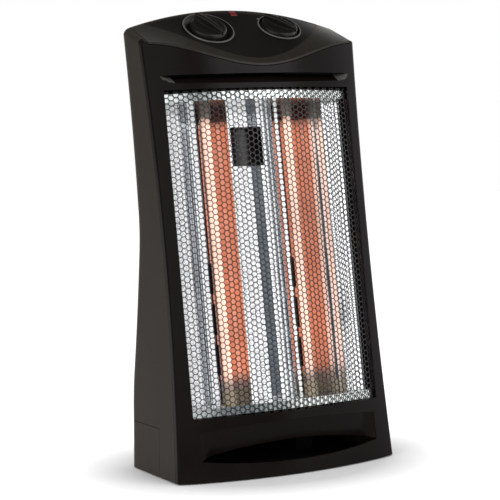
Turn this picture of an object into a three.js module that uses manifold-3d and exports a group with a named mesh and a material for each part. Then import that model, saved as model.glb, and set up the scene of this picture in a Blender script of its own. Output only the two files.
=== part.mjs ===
// Quartz tower heater: a leaning, waisted plastic tower with a bowed front, two quartz lamps in folded
// reflectors behind a perforated guard, and two knobs on the sloping top.
// Millimetres. X runs to the right seen from the front, Y to the back, Z up. The origin is on the floor
// under the middle of the tower.
import * as THREE from "three";
import { mergeVertices } from "three/addons/utils/BufferGeometryUtils.js";
import Module from "manifold-3d";

const wasm = await Module();
wasm.setup();

// Tower
const towerHeight = 580;
const baseWidth = 298;
const waistTuck = 8.5; // each side is this much further in at the waist than at the floor
const waistHeight = 285;
const baseDepth = 208;
const topDepth = 59.4; // the rear wall's distance behind the origin above the ramp
const frontCornerDepth = 74; // the front corner line's distance in front of the origin at the floor
const frontLean = 31.9; // how far that line leans back by the top, and how far it curves back besides
const frontCurve = 21.53;
const bowRadius = 385;
const frontCornerRadius = 6;
const rearCornerRadius = 36;
const rampSlope = 0.22;
const rampStart = 100;
const rampSoft = 25;
const wall = 3;
const floorClearance = 1.5; // the housing's edge stands this far above the floor
const seatGap = 0.3; // between pieces that touch
const seamGap = 0.3;

// Sloping top
const topFall = 76.3;
const topFrontHeight = towerHeight - topFall;
const topFrontRise = 30; // the front edge of the top climbs this much towards the sides
const ridgeDepth = 34;
const ridgeDrop = 25.4; // the ridge falls this much from the middle to the sides
const topBulge = 0.85;
const rimRadius = 6;
const rimWidth = 8;
const capThickness = 2.5;
const capGroove = 0.8;
const deckThickness = 2.7;
const capRear = 28;

// Control panel, knobs and indicator
const panelInset = 8.1; // from the panel's front to the tower's front
const panelSide = 13;
const panelRadius = baseWidth / 2 - panelSide;
const panelRecess = 1;
const panelThickness = 2;
const panelLip = 3.5;
const dishDepth = 4;
const ringHeight = 1.8;
const ringWidth = 2.4;
const knobClearance = 1.1;
const dishWall = 2;
const shaftRadius = 3;
const shaftClearance = 0.3;
const shaftLength = 8; // below the dish
const knobRadius = 24.5;
const knobHeight = 18;
const knobSkirt = 9;
const finWidth = 9;
const thermostat = { x: -46.5, y: -2.6, ring: 33.5, turn: -60 };
const selector = { x: 54, y: 0, ring: 29, turn: -45 };
const switchBody = { width: 34, depth: 28, height: 24 };
const indicator = { width: 9, length: 8.5, rear: 27.4, depth: 4.5 };
const neonLamp = { radius: 3, length: 13 };

// Front bezel
const seamSetback = 10.5; // the bezel's side return behind the front corner line
const sideFrame = 22.5;
const headHeight = 106.5;
const windowWidth = baseWidth - 2 * sideFrame;
const windowBottom = 77.5;
const windowTop = towerHeight - headHeight;
const barOverhang = 3;
const barHeight = 14.5;
const barWidth = windowWidth + 2 * barOverhang;
const barLip = windowTop + 3.5;
const barCeiling = barLip + barHeight;
const barDepth = 16;
const barFacet = 17;
const scoopInset = 6.5;
const scoopWidth = windowWidth - 2 * scoopInset;
const scoopDepth = 15;
const scoopFacet = 20;
const scoopTop = 67.5;
const inletTop = 41.5;
const inletLip = 18;
const bossRadius = 4.5;

// Base
const footSeamHeight = 61;
const footSeamDepth = -12;
const basePlateThickness = 3;
const rubberFoot = { radius: 8, stem: 2.6 };
const footInset = { front: 8, frontSide: 31, rear: 30, rearSide: 41 };
const gland = { x: -60, z: 32, radius: 8, bore: 4, flange: 11, flangeThickness: 2.6 };
const tipSwitch = { x: 70, y: 30, width: 24, depth: 18, height: 30, plunger: 4 };

// Heating unit
const grilleThickness = 1.2;
const grilleGap = 0.45;
const grilleMargin = 2.2;
const grilleColumns = 8;
const holeShare = 0.43; // a hole's radius as a share of the column pitch
const lampSpacing = 114;
const lampEndRoom = 15;
const lampLength = windowTop - windowBottom - 2 * lampEndRoom;
const tubeRadius = 6;
const tubeWall = 1;
const coilRadius = 3.6;
const lampCapRadius = 8;
const lampCapLength = 34;
const lampCapGrip = 12;
const sheet = 1;
const reflectorLength = lampLength + 6 * sheet;
const chassisOffset = 46.6; // the unit's back, measured from its bowed face, beyond the rear wall's depth
const lampSetback = 42.5; // these three are in front of the unit's back
const troughSetback = 11;
const middleSetback = 39;
const chassisDepth = topDepth + chassisOffset;
const lampDepth = chassisDepth - lampSetback;
const troughDepth = chassisDepth - troughSetback;
const middleDepth = chassisDepth - middleSetback;
const troughOffset = 1; // each reflector is a wide V behind its lamp, with slightly hollow walls
const wingGap = 9.9;
const wallHollow = 6;
const middleHalf = 25;
const middleFlange = 2.6;
const middleRib = { from: 4, to: 17, depth: 2 };
const backWindow = { width: 43, height: 50, fromTop: 63 };
const slot = { length: 38.5, width: 4.6, pitch: 51.6, first: -9, count: 3, inside: 2.6 };
const lipHeight = 10;
const lipGap = 1;
const chassisSide = 2.5;
const chassisEnd = 16;
const chassisHalf = windowWidth / 2 + chassisSide;
const chassisHeight = reflectorLength + 2 * chassisEnd;
const earWidth = 9;
const earHeight = 12;
const earSetback = 6.9;
const cutoutCan = { radius: 11.5, height: 60, back: 14, foot: 14 };
const louvre = { width: 46, height: 3.6, pitch: 11, count: 9, fromTop: 240, apart: 62 };

const baseRear = baseDepth / 2;
const deckDrop = capThickness + capGroove;
const capBottom = topFrontHeight - 1.1 * topFall; // under every cut that only the top may have
const panelFront = -frontY(0, topFrontHeight) - panelInset;
const frontMost = 2 * frontCornerDepth;
const wideX = 0.7 * baseWidth;
const far = 260;
const past = 20; // cutters reach this far past the tower

// Half the tower's width at a height: narrow at the waist, wide at both ends.
function halfWidth(z) {
  const rise = (z - waistHeight) / waistHeight;
  return baseWidth / 2 - waistTuck + waistTuck * rise * rise;
}

// The front corner line leans back, more so towards the top.
function frontCornerY(z) {
  const share = z / towerHeight;
  return -frontCornerDepth + frontLean * share + frontCurve * share * share;
}

// Centre of the bow's circle in plan.
function bowCentreY(z) {
  const half = halfWidth(z);
  return frontCornerY(z) + Math.sqrt(bowRadius * bowRadius - half * half);
}

function frontY(x, z) {
  return bowCentreY(z) - Math.sqrt(bowRadius * bowRadius - x * x);
}

// The rear wall: upright, then a ramp with rounded ends, then upright again.
function rearY(z) {
  const rampLength = (baseRear - topDepth) / rampSlope;
  const rounded = (t) => {
    if (t < -rampSoft) return 0;
    return t > rampSoft ? t : ((t + rampSoft) * (t + rampSoft)) / (4 * rampSoft);
  };
  return baseRear - rampSlope * (rounded(z - rampStart) - rounded(z - rampStart - rampLength));
}

function capFrontZ(x) {
  const side = Math.sin((Math.PI * x) / baseWidth);
  return topFrontHeight + topFrontRise * side * side;
}

function ridgeZ(x) {
  const share = (2 * x) / baseWidth;
  return towerHeight - ridgeDrop * share * share;
}

// Height of the sloping top in front of the ridge.
function slopeZ(x, y) {
  const low = capFrontZ(x);
  const front = frontY(Math.min(Math.abs(x), baseWidth / 2 - 2), low);
  const a = (y - front) / (ridgeDepth - front);
  const steep = 2 / (1 + topBulge);
  const bend = Math.max(a - topBulge, 0);
  const share = steep * a - (steep * bend * bend) / (2 * (1 - topBulge));
  return low + (ridgeZ(x) - low) * share;
}

function asGeometry(points, faces) {
  const geometry = new THREE.BufferGeometry();
  geometry.setAttribute("position", new THREE.Float32BufferAttribute(points.flat(), 3));
  geometry.setIndex(faces.flat());
  return geometry;
}

// A closed skin over a row of sections with the same number of points, with flat ends.
function loft(sections, flatten) {
  const count = sections[0].length;
  const last = (sections.length - 1) * count;
  const faces = [];
  for (let s = 0; s + 1 < sections.length; s++) {
    for (let i = 0; i < count; i++) {
      const a = s * count + i;
      const b = s * count + ((i + 1) % count);
      faces.push([a, b, b + count], [a, b + count, a + count]);
    }
  }
  const outline = (section) => section.map((p) => new THREE.Vector2(...flatten(p)));
  const area = (a, b, c) => (b.x - a.x) * (c.y - a.y) - (c.x - a.x) * (b.y - a.y);
  for (const [section, start] of [[sections[0], 0], [sections.at(-1), last]]) {
    const flat = outline(section);
    const turn = THREE.ShapeUtils.area(flat);
    for (const [i, j, k] of THREE.ShapeUtils.triangulateShape(flat, [])) {
      const same = area(flat[i], flat[j], flat[k]) * turn > 0;
      const forward = start > 0 ? same : !same;
      faces.push(forward ? [start + i, start + j, start + k] : [start + i, start + k, start + j]);
    }
  }
  return asGeometry(sections.flat(), faces);
}

const loftUp = (sections) => loft(sections, (p) => [p[0], p[1]]);
const loftAcross = (sections) => loft(sections, (p) => [p[1], p[2]]);

function placed(geometry, x, y, z, turnX = 0, turnY = 0, turnZ = 0) {
  const turn = new THREE.Euler(turnX, turnY, turnZ);
  const matrix = new THREE.Matrix4().makeRotationFromEuler(turn).setPosition(x, y, z);
  return geometry.applyMatrix4(matrix);
}

function solid(geometry) {
  const bare = geometry.clone();
  bare.deleteAttribute("normal");
  bare.deleteAttribute("uv");
  bare.clearGroups();
  const merged = mergeVertices(bare, 1e-4);
  const made = new wasm.Manifold(
    new wasm.Mesh({
      numProp: 3,
      vertProperties: merged.attributes.position.array,
      triVerts: new Uint32Array(merged.index.array),
    }),
  );
  if (made.volume() >= 0) return made;
  const turned = Uint32Array.from(merged.index.array);
  for (let i = 0; i < turned.length; i += 3) {
    [turned[i + 1], turned[i + 2]] = [turned[i + 2], turned[i + 1]];
  }
  return new wasm.Manifold(
    new wasm.Mesh({
      numProp: 3,
      vertProperties: merged.attributes.position.array,
      triVerts: turned,
    }),
  );
}

function asMesh(name, shape, material) {
  const made = shape.isBufferGeometry ? solid(shape) : shape;
  const { vertProperties, triVerts } = made.getMesh();
  const geometry = new THREE.BufferGeometry();
  geometry.setAttribute("position", new THREE.BufferAttribute(vertProperties.slice(), 3));
  geometry.setIndex(new THREE.BufferAttribute(triVerts.slice(), 1));
  geometry.computeVertexNormals();
  const mesh = new THREE.Mesh(geometry, material);
  mesh.name = name;
  return mesh;
}

const joined = (...shapes) => wasm.Manifold.union(shapes);

function box(x0, x1, y0, y1, z0, z1) {
  const geometry = new THREE.BoxGeometry(x1 - x0, y1 - y0, z1 - z0);
  return solid(placed(geometry, (x0 + x1) / 2, (y0 + y1) / 2, (z0 + z1) / 2));
}

// A turned piece about the local Z axis, from [radius, height] points.
function turned(profile, segments = 24) {
  const points = profile.map(([r, z]) => new THREE.Vector2(r, z));
  return new THREE.LatheGeometry(points, segments).rotateX(Math.PI / 2);
}

// A round bar along the local Z axis.
function rod(radius, z0, z1, segments = 20) {
  return turned([[0, z0], [radius, z0], [radius, z1], [0, z1]], segments);
}

function tubeShape(outer, inner, z0, z1, segments) {
  return turned([[inner, z0], [outer, z0], [outer, z1], [inner, z1], [inner, z0]], segments);
}

// A profile in Y and Z drawn out across the tower.
function acrossX(profile, x0, x1) {
  return solid(loftAcross([x0, x1].map((x) => profile.map(([y, z]) => [x, y, z]))));
}

// A profile in X and Y drawn upwards.
function upwards(profile, z0, z1) {
  return solid(loftUp([z0, z1].map((z) => profile.map(([x, y]) => [x, y, z]))));
}

function arcPoints(cx, cy, radius, from, to, steps) {
  return Array.from({ length: steps + 1 }, (_, i) => {
    const angle = from + ((to - from) * i) / steps;
    return [cx + radius * Math.cos(angle), cy + radius * Math.sin(angle)];
  });
}

// The tower's outline in plan at a height, drawn in by an inset.
function planOutline(z, inset) {
  const half = halfWidth(z) - inset;
  const bow = bowRadius - inset;
  const corner = Math.max(frontCornerRadius - inset, 1.5);
  const rearCorner = rearCornerRadius - inset;
  const bowY = bowCentreY(z);
  const cornerX = half - corner;
  const swing = Math.asin(cornerX / (bow - corner));
  const cornerY = bowY - (bow - corner) * Math.cos(swing);
  const down = -Math.PI / 2;
  const rear = rearY(z) - inset;
  return [
    ...arcPoints(-cornerX, cornerY, corner, -Math.PI, down - swing, 3),
    ...arcPoints(0, bowY, bow, down - swing, down + swing, 12).slice(1, -1),
    ...arcPoints(cornerX, cornerY, corner, down + swing, 0, 3),
    ...arcPoints(half - rearCorner, rear - rearCorner, rearCorner, 0, Math.PI / 2, 5),
    ...arcPoints(rearCorner - half, rear - rearCorner, rearCorner, Math.PI / 2, Math.PI, 5),
  ];
}

// The tower's walls drawn up past its top, drawn in by an inset.
function tower(inset, bottom) {
  const rampEnd = rampStart + (baseRear - topDepth) / rampSlope;
  const ramp = [rampStart, rampEnd].flatMap((z) => [z - rampSoft, z, z + rampSoft]);
  const heights = [...ramp.slice(0, 3), waistHeight * 0.7, ...ramp.slice(3)]
    .concat([0.71 * towerHeight, 0.845 * towerHeight, towerHeight + far / 10]);
  const levels = [bottom, ...heights];
  return solid(loftUp(levels.map((z) => planOutline(z, inset).map(([x, y]) => [x, y, z]))));
}

// How far the rounded rim has fallen at a point: tight at the sides, wide at the rear.
function rimFall(x, y, z) {
  const corner = rearCornerRadius;
  const wide = topDepth - ridgeDepth;
  const sideGap = halfWidth(z) - Math.abs(x);
  const rearGap = topDepth - y;
  let gap = sideGap;
  let radius = rimRadius;
  if (sideGap < corner && rearGap < corner) {
    const across = corner - sideGap;
    const along = corner - rearGap;
    gap = corner - Math.hypot(across, along);
    radius = rimRadius + (wide - rimRadius) * Math.sin(Math.atan2(along, across)) ** 2;
  } else if (rearGap < corner) {
    gap = rearGap;
    radius = wide;
  }
  const bend = Math.min(Math.max(radius - gap, 0), radius);
  return radius - Math.sqrt(radius * radius - bend * bend);
}

function topZ(x, y) {
  const z = y < ridgeDepth ? slopeZ(x, y) : ridgeZ(x);
  return z - rimFall(x, y, z);
}

// Everything under the tower's top surface, lowered by a drop.
function underTop(drop) {
  const half = baseWidth / 2;
  const sideStations = [0.17, 0.34, 0.5, 0.66, 0.77, 0.85, 0.91].map((share) => share * half);
  const rimStations = [-9.5, -6, -4, -2.4, -0.9, 1].map((past) => half + past);
  const right = [...sideStations, ...rimStations];
  const stations = [...right.map((x) => -x).reverse(), 0, ...right];
  const slope = [-1.77, -0.59, 0.47, 0.74].map((share) => share * ridgeDepth);
  const round = [0, 0.35, 0.6, 0.8, 0.93, 1].map((share) => ridgeDepth + share * (topDepth - ridgeDepth));
  const section = (x) => {
    const line = [-frontMost, ...slope, ...round].map((y) => [x, y, topZ(x, y) - drop]);
    const shelf = line.at(-1)[2] - 0.5;
    return [[x, -frontMost, -20], ...line, [x, baseRear + 20, shelf], [x, baseRear + 20, -20]];
  };
  return solid(loftAcross(stations.map(section)));
}

// Everything in front of the seam between the bezel and the rear housing.
function beforeSeam(offset) {
  const heights = Array.from({ length: 13 }, (_, i) => -past + (i * (towerHeight + 3 * past)) / 12);
  const seam = heights.map((z) => [frontCornerY(z) + seamSetback + offset, z]);
  return acrossX([[-far, -past], ...seam, [-far, towerHeight + 2 * past]], -wideX, wideX);
}

// The lens outline of the control panel in plan: a front arc closed by a straight rear edge.
function panelLens(inset) {
  const radius = panelRadius - inset;
  const centre = panelRadius - panelFront;
  const rear = capRear - inset;
  const reach = Math.acos((centre - rear) / radius);
  const down = -Math.PI / 2;
  return upwards(arcPoints(0, centre, radius, down - reach, down + reach, 18), capBottom, towerHeight + 40);
}

const black = { roughness: 0.55, metalness: 0 };
const materials = {
  housing: new THREE.MeshStandardMaterial({ color: 0x3d3834, ...black }),
  bezel: new THREE.MeshStandardMaterial({ color: 0x2b2926, ...black }),
  cap: new THREE.MeshStandardMaterial({ color: 0x282520, ...black }),
  panel: new THREE.MeshStandardMaterial({ color: 0x181413, ...black }),
  knob: new THREE.MeshStandardMaterial({ color: 0x1c1a18, roughness: 0.4, metalness: 0 }),
  rubber: new THREE.MeshStandardMaterial({ color: 0x141414, roughness: 0.9, metalness: 0 }),
  chrome: new THREE.MeshStandardMaterial({ color: 0xd8dadc, roughness: 0.12, metalness: 1 }),
  reflector: new THREE.MeshStandardMaterial({ color: 0xe4e6e8, roughness: 0.15, metalness: 1 }),
  steel: new THREE.MeshStandardMaterial({ color: 0x6f7073, roughness: 0.5, metalness: 1 }),
  ceramic: new THREE.MeshStandardMaterial({ color: 0xcabfae, roughness: 0.7, metalness: 0 }),
  quartz: new THREE.MeshStandardMaterial({
    color: 0xf3e6e0, roughness: 0.1, transparent: true, opacity: 0.4,
  }),
  coil: new THREE.MeshStandardMaterial({ color: 0xf57d4b, roughness: 0.6, emissive: 0xf0642c }),
  red: new THREE.MeshStandardMaterial({ color: 0x8c1420, roughness: 0.3, metalness: 0 }),
  darkPlastic: new THREE.MeshStandardMaterial({ color: 0x22211f, roughness: 0.6, metalness: 0 }),
};

const body = tower(0, floorClearance).intersect(underTop(0));
const cavity = tower(wall, -20).intersect(underTop(deckDrop + deckThickness));
const shell = body.subtract(cavity);
const footRegion = (gap) =>
  box(-wideX, wideX, footSeamDepth + gap, far, -20, footSeamHeight - gap);
const capReach = baseWidth / 2 - rimWidth - 1.5;
const capSeat = (gap) =>
  box(-capReach - gap, capReach + gap, -far, capRear + gap, capBottom, towerHeight + 40);

// Where the shafts leave the panel: a frame on the slope with its Z axis square to the surface.
function panelFrame({ x, y }) {
  const step = 4;
  const tilt = Math.atan((slopeZ(x, y + step) - slopeZ(x, y - step)) / (2 * step));
  const group = new THREE.Group();
  group.position.set(x, y, slopeZ(x, y) - panelRecess);
  group.rotation.x = tilt;
  group.updateMatrix();
  return group;
}

const dialFrames = { thermostat: panelFrame(thermostat), selector: panelFrame(selector) };

// The bezel and the housing share one seat for the cap and one opening under the control panel.
function withCapSeat(shape) {
  const seat = capSeat(seamGap).subtract(underTop(deckDrop));
  const mouth = joined(
    panelLens(panelLip),
    ...[thermostat, selector].map((dial) => {
      const room = rod(dial.ring + seatGap * 2, -30, ringHeight, 24);
      return solid(room.applyMatrix4(panelFrame(dial).matrix));
    }),
  );
  const lampNotch = box(
    -indicator.width / 2 - 2, indicator.width / 2 + 2,
    indicator.rear - indicator.length - 2, indicator.rear + 0.3, capBottom, towerHeight + 40,
  ).subtract(underTop(deckDrop + deckThickness + 4));
  return shape.subtract(joined(seat, mouth, lampNotch));
}

// The V-shaped recess bar above the guard, as stations across the bow.
function barSection(x, grow) {
  const half = barWidth / 2;
  const depth = barDepth * Math.min(1, Math.max(0.02, (half - Math.abs(x)) / barFacet));
  const lip = barLip + 3 * (x / half) ** 2;
  const ceiling = barCeiling + grow;
  const out = grow > 0 ? 1 : -4;
  const front = frontY(x, barCeiling) + out;
  const lowFront = frontY(x, lip) + out;
  const deep = frontY(x, barCeiling) + depth + grow;
  const edge = barCeiling - 0.6 - grow * 0.3;
  return [[x, front, ceiling], [x, deep, ceiling], [x, deep, edge], [x, lowFront, lip - grow]];
}

function recessBar(grow) {
  const half = barWidth / 2;
  const right = [0.25, 0.5, 0.7].map((s) => s * half).concat([half - barFacet, half]);
  const stations = [...right.map((x) => -x).reverse(), 0, ...right];
  return solid(loftAcross(stations.map((x) => barSection(x, grow))));
}

// The scoop under the guard: a face that slopes inwards from an arched line to the air inlet.
function scoopShape(x) {
  const share = (2 * x) / scoopWidth;
  const reach = Math.min(1, Math.max(0.03, (scoopWidth / 2 - Math.abs(x)) / scoopFacet));
  return {
    depth: scoopDepth * reach,
    top: scoopTop - 7 * share * share,
    upper: inletTop - 14.5 * share * share,
    lip: inletLip + 8 * share * share,
  };
}

function scoop(make) {
  const half = scoopWidth / 2;
  const right = [0.2, 0.4, 0.6].map((s) => s * half)
    .concat([half - scoopFacet, half - scoopFacet / 2, half]);
  const stations = [...right.map((x) => -x).reverse(), 0, ...right];
  return solid(loftAcross(stations.map((x) => make(x, scoopShape(x)).map(([y, z]) => [x, y, z]))));
}

function scoopPocket() {
  return scoop((x, s) => [
    [frontY(x, s.top) - 4, s.top],
    [frontY(x, s.top), s.top],
    [frontY(x, s.upper) + s.depth, s.upper],
    [frontY(x, s.upper) + s.depth + 12, s.upper],
    [frontY(x, s.lip) + s.depth + 12, s.lip],
    [frontY(x, s.lip) - 4, s.lip],
  ]);
}

function scoopBacking() {
  return scoop((x, s) => [
    [frontY(x, s.top) + 1, s.top + 4],
    [frontY(x, s.upper) + s.depth + wall, s.upper + 4],
    [frontY(x, s.upper) + s.depth + wall, s.upper],
    [frontY(x, s.upper) + 1, s.upper],
  ]);
}

// The heating unit leans with the front: its frame has its origin on the middle of the bowed face.
const unitMiddle = (windowBottom + windowTop) / 2;
const unitLean = Math.atan2(frontY(0, windowTop) - frontY(0, windowBottom), windowTop - windowBottom);
const unit = new THREE.Group();
unit.position.set(0, (frontY(0, windowTop) + frontY(0, windowBottom)) / 2, unitMiddle);
unit.rotation.x = -unitLean;
unit.updateMatrix();
const inUnit = (geometry) => solid(geometry.clone().applyMatrix4(unit.matrix));

const earPlaces = [-1, 1].flatMap((side) => [-1, 1].map((end) => ({ side, end })));
const earX = chassisHalf + earWidth / 2;
const earZ = chassisHeight / 2 - earHeight;

function frontBezel() {
  const front = shell.intersect(beforeSeam(-seamGap / 2)).subtract(footRegion(-seamGap));
  const inside = tower(0.5, -20);
  const bosses = earPlaces.map(({ side, end }) => {
    const boss = rod(bossRadius, 0, earDepth + 30, 16).rotateX(Math.PI / 2);
    return inUnit(placed(boss, side * earX, earDepth - seatGap, end * earZ));
  });
  const solidParts = joined(recessBar(wall), scoopBacking(), ...bosses).intersect(inside);
  const half = windowWidth / 2;
  const opening = box(-half, half, -far, 40, windowBottom, windowTop);
  return withCapSeat(joined(front, solidParts)).subtract(joined(recessBar(0), scoopPocket(), opening));
}

function rearHousing() {
  const slots = [];
  for (const side of [-1, 1]) {
    for (let i = 0; i < louvre.count; i++) {
      const z = towerHeight - louvre.fromTop + i * louvre.pitch;
      const x = (side * louvre.apart) / 2;
      slots.push(box(x - louvre.width / 2, x + louvre.width / 2, topDepth - 20, far, z, z + louvre.height));
    }
  }
  const rear = shell.subtract(beforeSeam(seamGap / 2)).subtract(footRegion(-seamGap / 2));
  return withCapSeat(rear).subtract(joined(...slots));
}

function baseFoot() {
  const bore = rod(gland.radius + seatGap + 0.1, -30, 30, 16);
  const hole = placed(bore, gland.x, baseRear, gland.z, Math.PI / 2);
  return shell.intersect(footRegion(seamGap / 2)).subtract(beforeSeam(seamGap / 2)).subtract(solid(hole));
}

const footFront = [baseWidth / 2 - footInset.frontSide, footInset.front - frontCornerDepth];
const footRear = [baseWidth / 2 - footInset.rearSide, baseRear - footInset.rear];
const footPlaces = [
  { name: "front_left", x: -footFront[0], y: footFront[1] },
  { name: "front_right", x: footFront[0], y: footFront[1] },
  { name: "rear_left", x: -footRear[0], y: footRear[1] },
  { name: "rear_right", x: footRear[0], y: footRear[1] },
];
const plateTop = floorClearance + basePlateThickness;

function basePlate() {
  const plate = tower(wall + seatGap, -20).intersect(box(-wideX, wideX, -far, far, floorClearance, plateTop));
  const holes = footPlaces.map(({ x, y }) => {
    return solid(placed(rod(rubberFoot.stem + seatGap + 0.1, -5, 20, 14), x, y, 0));
  });
  const plungerHole = solid(placed(rod(tipSwitch.plunger + 0.4, -5, 20, 20), tipSwitch.x, tipSwitch.y, 0));
  return plate.subtract(joined(...holes, plungerHole));
}

function topCap() {
  const slab = underTop(0).subtract(underTop(capThickness));
  return slab.intersect(capSeat(-seamGap)).intersect(tower(0, 0)).subtract(panelLens(0));
}

function dish({ ring }, frame) {
  const bottom = -dishDepth - dishWall;
  const cup = turned([
    [0, bottom],
    [ring - 1.5, bottom],
    [ring, 0],
    [ring - 0.5, ringHeight],
    [0, ringHeight],
  ], 24);
  const hollow = turned([
    [0, -dishDepth],
    [knobRadius + knobClearance, -dishDepth],
    [ring - ringWidth, ringHeight + 0.5],
    [0, ringHeight + 0.5],
  ], 24);
  const bore = rod(shaftRadius + shaftClearance, bottom - 5, ringHeight + 5, 14);
  return {
    cup: solid(cup.applyMatrix4(frame.matrix)),
    hollow: solid(hollow.applyMatrix4(frame.matrix)),
    bore: solid(bore.applyMatrix4(frame.matrix)),
  };
}

function controlPanel() {
  const sheetOver = underTop(panelRecess).subtract(underTop(panelRecess + panelThickness));
  const slab = sheetOver.intersect(panelLens(0.4));
  const left = dish(thermostat, dialFrames.thermostat);
  const right = dish(selector, dialFrames.selector);
  const gap = seatGap;
  const lensHole = box(
    -indicator.width / 2 - gap, indicator.width / 2 + gap,
    indicator.rear - indicator.length - gap, capRear + 5, capBottom, towerHeight + 40,
  );
  return joined(slab, left.cup, right.cup)
    .subtract(joined(left.hollow, right.hollow, left.bore, right.bore, lensHole));
}

function indicatorLens() {
  const block = box(
    -indicator.width / 2, indicator.width / 2,
    indicator.rear - indicator.length, indicator.rear, capBottom, towerHeight + 40,
  );
  return block.intersect(underTop(0.2)).subtract(underTop(indicator.depth));
}

function indicatorLamp() {
  const y = indicator.rear - indicator.length / 2;
  const { radius, length } = neonLamp;
  const top = slopeZ(0, y - radius) - indicator.depth - seatGap;
  const profile = [[0, 0], [radius / 2, 0], [radius, 3], [radius, length], [0, length]];
  return placed(turned(profile, 12), 0, y, top - length);
}

// A knob: a round skirt with a dished top, and a curved fin across it to grip.
function knob() {
  const skirt = solid(turned([
    [0, 0], [knobRadius, 0], [knobRadius, knobSkirt * 0.35], [knobRadius - 1.5, knobSkirt * 0.8],
    [knobRadius - 4.5, knobSkirt], [knobRadius * 0.5, knobSkirt * 0.86], [0, knobSkirt * 0.8],
  ], 24));
  const reach = knobRadius - 1.5;
  const fin = new THREE.Shape();
  fin.moveTo(-reach, 2);
  fin.quadraticCurveTo(-reach * 0.3, finWidth * 0.75, reach, finWidth * 0.1);
  fin.lineTo(reach, -finWidth * 0.25);
  fin.quadraticCurveTo(-reach * 0.2, -finWidth * 0.35, -reach, -2);
  const bevel = 1.6;
  const blade = new THREE.ExtrudeGeometry(fin, {
    depth: knobHeight - bevel - 1,
    curveSegments: 5,
    bevelEnabled: true,
    bevelThickness: bevel,
    bevelSize: bevel,
    bevelOffset: -bevel,
    bevelSegments: 1,
  });
  const low = solid(placed(blade, 0, 0, 1)).intersect(solid(rod(knobRadius - 1, 0.5, knobHeight, 24)));
  const socket = solid(rod(shaftRadius + shaftClearance, -1, knobSkirt * 0.72, 12));
  return joined(skirt, low).subtract(socket);
}

function addDial(group, name, bodyName, spot, frame) {
  const base = -dishDepth + seatGap;
  const knobMesh = asMesh(name + "_knob", knob(), materials.knob);
  knobMesh.position.z = base;
  knobMesh.rotation.z = THREE.MathUtils.degToRad(spot.turn);
  const bodyTop = -dishDepth - dishWall - seatGap;
  const shaftTop = base + knobSkirt * 0.72 - seatGap;
  const shaftShape = rod(shaftRadius, bodyTop - shaftLength, shaftTop, 16);
  const shaft = asMesh(name + "_shaft", shaftShape, materials.steel);
  const { width, depth, height } = switchBody;
  const block = box(-width / 2, width / 2, -depth / 2, depth / 2, bodyTop - height, bodyTop);
  const bore = solid(rod(shaftRadius + shaftClearance, bodyTop - shaftLength - seatGap, bodyTop + 5, 16));
  frame.add(knobMesh, shaft, asMesh(bodyName, block.subtract(bore), materials.darkPlastic));
  group.add(frame);
}

const guardHalf = windowWidth / 2 + grilleMargin;
const guardPitch = (2 * guardHalf) / grilleColumns;
const guardEdges = Array.from({ length: grilleColumns + 1 }, (_, i) => -guardHalf + i * guardPitch);

// Depth of the guard's front and back faces behind the middle of the bowed front.
function guardFront(x) {
  const radius = bowRadius - wall - grilleGap;
  return bowRadius - Math.sqrt(radius * radius - x * x);
}

const guardBack = (x) => guardFront(x) + grilleThickness;
const earDepth = guardBack(chassisHalf) + earSetback;

// The guard: a bowed sheet of flat strips with a column of six-sided holes in each strip.
function grille() {
  const high = (windowTop - windowBottom) / 2 + grilleMargin;
  const pitch = guardPitch;
  const outer = guardEdges.map((x) => [x, guardFront(x)]);
  const inner = guardEdges.map((x) => [x, guardBack(x)]).reverse();
  const sheetSolid = upwards([...outer, ...inner], -high, high);
  const holeRadius = pitch * holeShare;
  const rise = pitch / Math.cos(Math.PI / 6);
  const rows = Math.floor((2 * high - 2 * holeRadius) / rise);
  const holes = [];
  for (let column = 0; column < grilleColumns; column++) {
    const x = guardEdges[column] + pitch / 2;
    const shift = column % 2 ? 0.5 : 0;
    for (let row = 0; row + shift * 2 <= rows; row++) {
      const z = (row + shift - rows / 2) * rise;
      const prism = new THREE.CylinderGeometry(holeRadius, holeRadius, 40, 6);
      holes.push(solid(placed(prism.rotateY(Math.PI / 2), x, guardFront(x), z)));
    }
  }
  return sheetSolid.subtract(joined(...holes));
}

// A folded sheet: a line of folds in X and Y given a thickness towards the back, drawn up.
function foldedSheet(folds, length) {
  const back = folds.map(([x, y]) => [x, y + sheet]).reverse();
  return upwards([...folds, ...back], -length / 2, length / 2);
}

// Points on the way from one fold to the next, pushed back so that the wall is a little hollow.
function hollowWall([x0, y0], [x1, y1], hollow, steps) {
  const across = x1 - x0;
  const along = y1 - y0;
  return Array.from({ length: steps + 1 }, (_, i) => {
    const t = i / steps;
    const push = (4 * hollow * t * (1 - t)) / Math.hypot(across, along);
    const x = x0 + across * t + Math.sign(across) * Math.abs(along) * push;
    return [x, y0 + along * t + Math.abs(across) * push];
  });
}

function reflector(side) {
  const bottom = [lampSpacing / 2 + troughOffset, troughDepth];
  const wingX = chassisHalf - 3 * sheet;
  const outer = hollowWall(bottom, [wingX, guardBack(wingX) + wingGap], wallHollow, 4);
  const inner = hollowWall(bottom, [middleHalf, middleDepth], wallHollow / 4, 2);
  const folds = [...outer.reverse(), ...inner.slice(1), [middleHalf - middleFlange, middleDepth]];
  const line = side > 0 ? folds : folds.map(([x, y]) => [-x, y]).reverse();
  const slotX = side * (bottom[0] - slot.inside);
  const slots = Array.from({ length: slot.count }, (_, i) => {
    const z = slot.first - i * slot.pitch;
    return box(slotX - slot.width / 2, slotX + slot.width / 2, middleDepth, chassisDepth, z - slot.length, z);
  });
  return foldedSheet(line, reflectorLength).subtract(joined(...slots));
}

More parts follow.
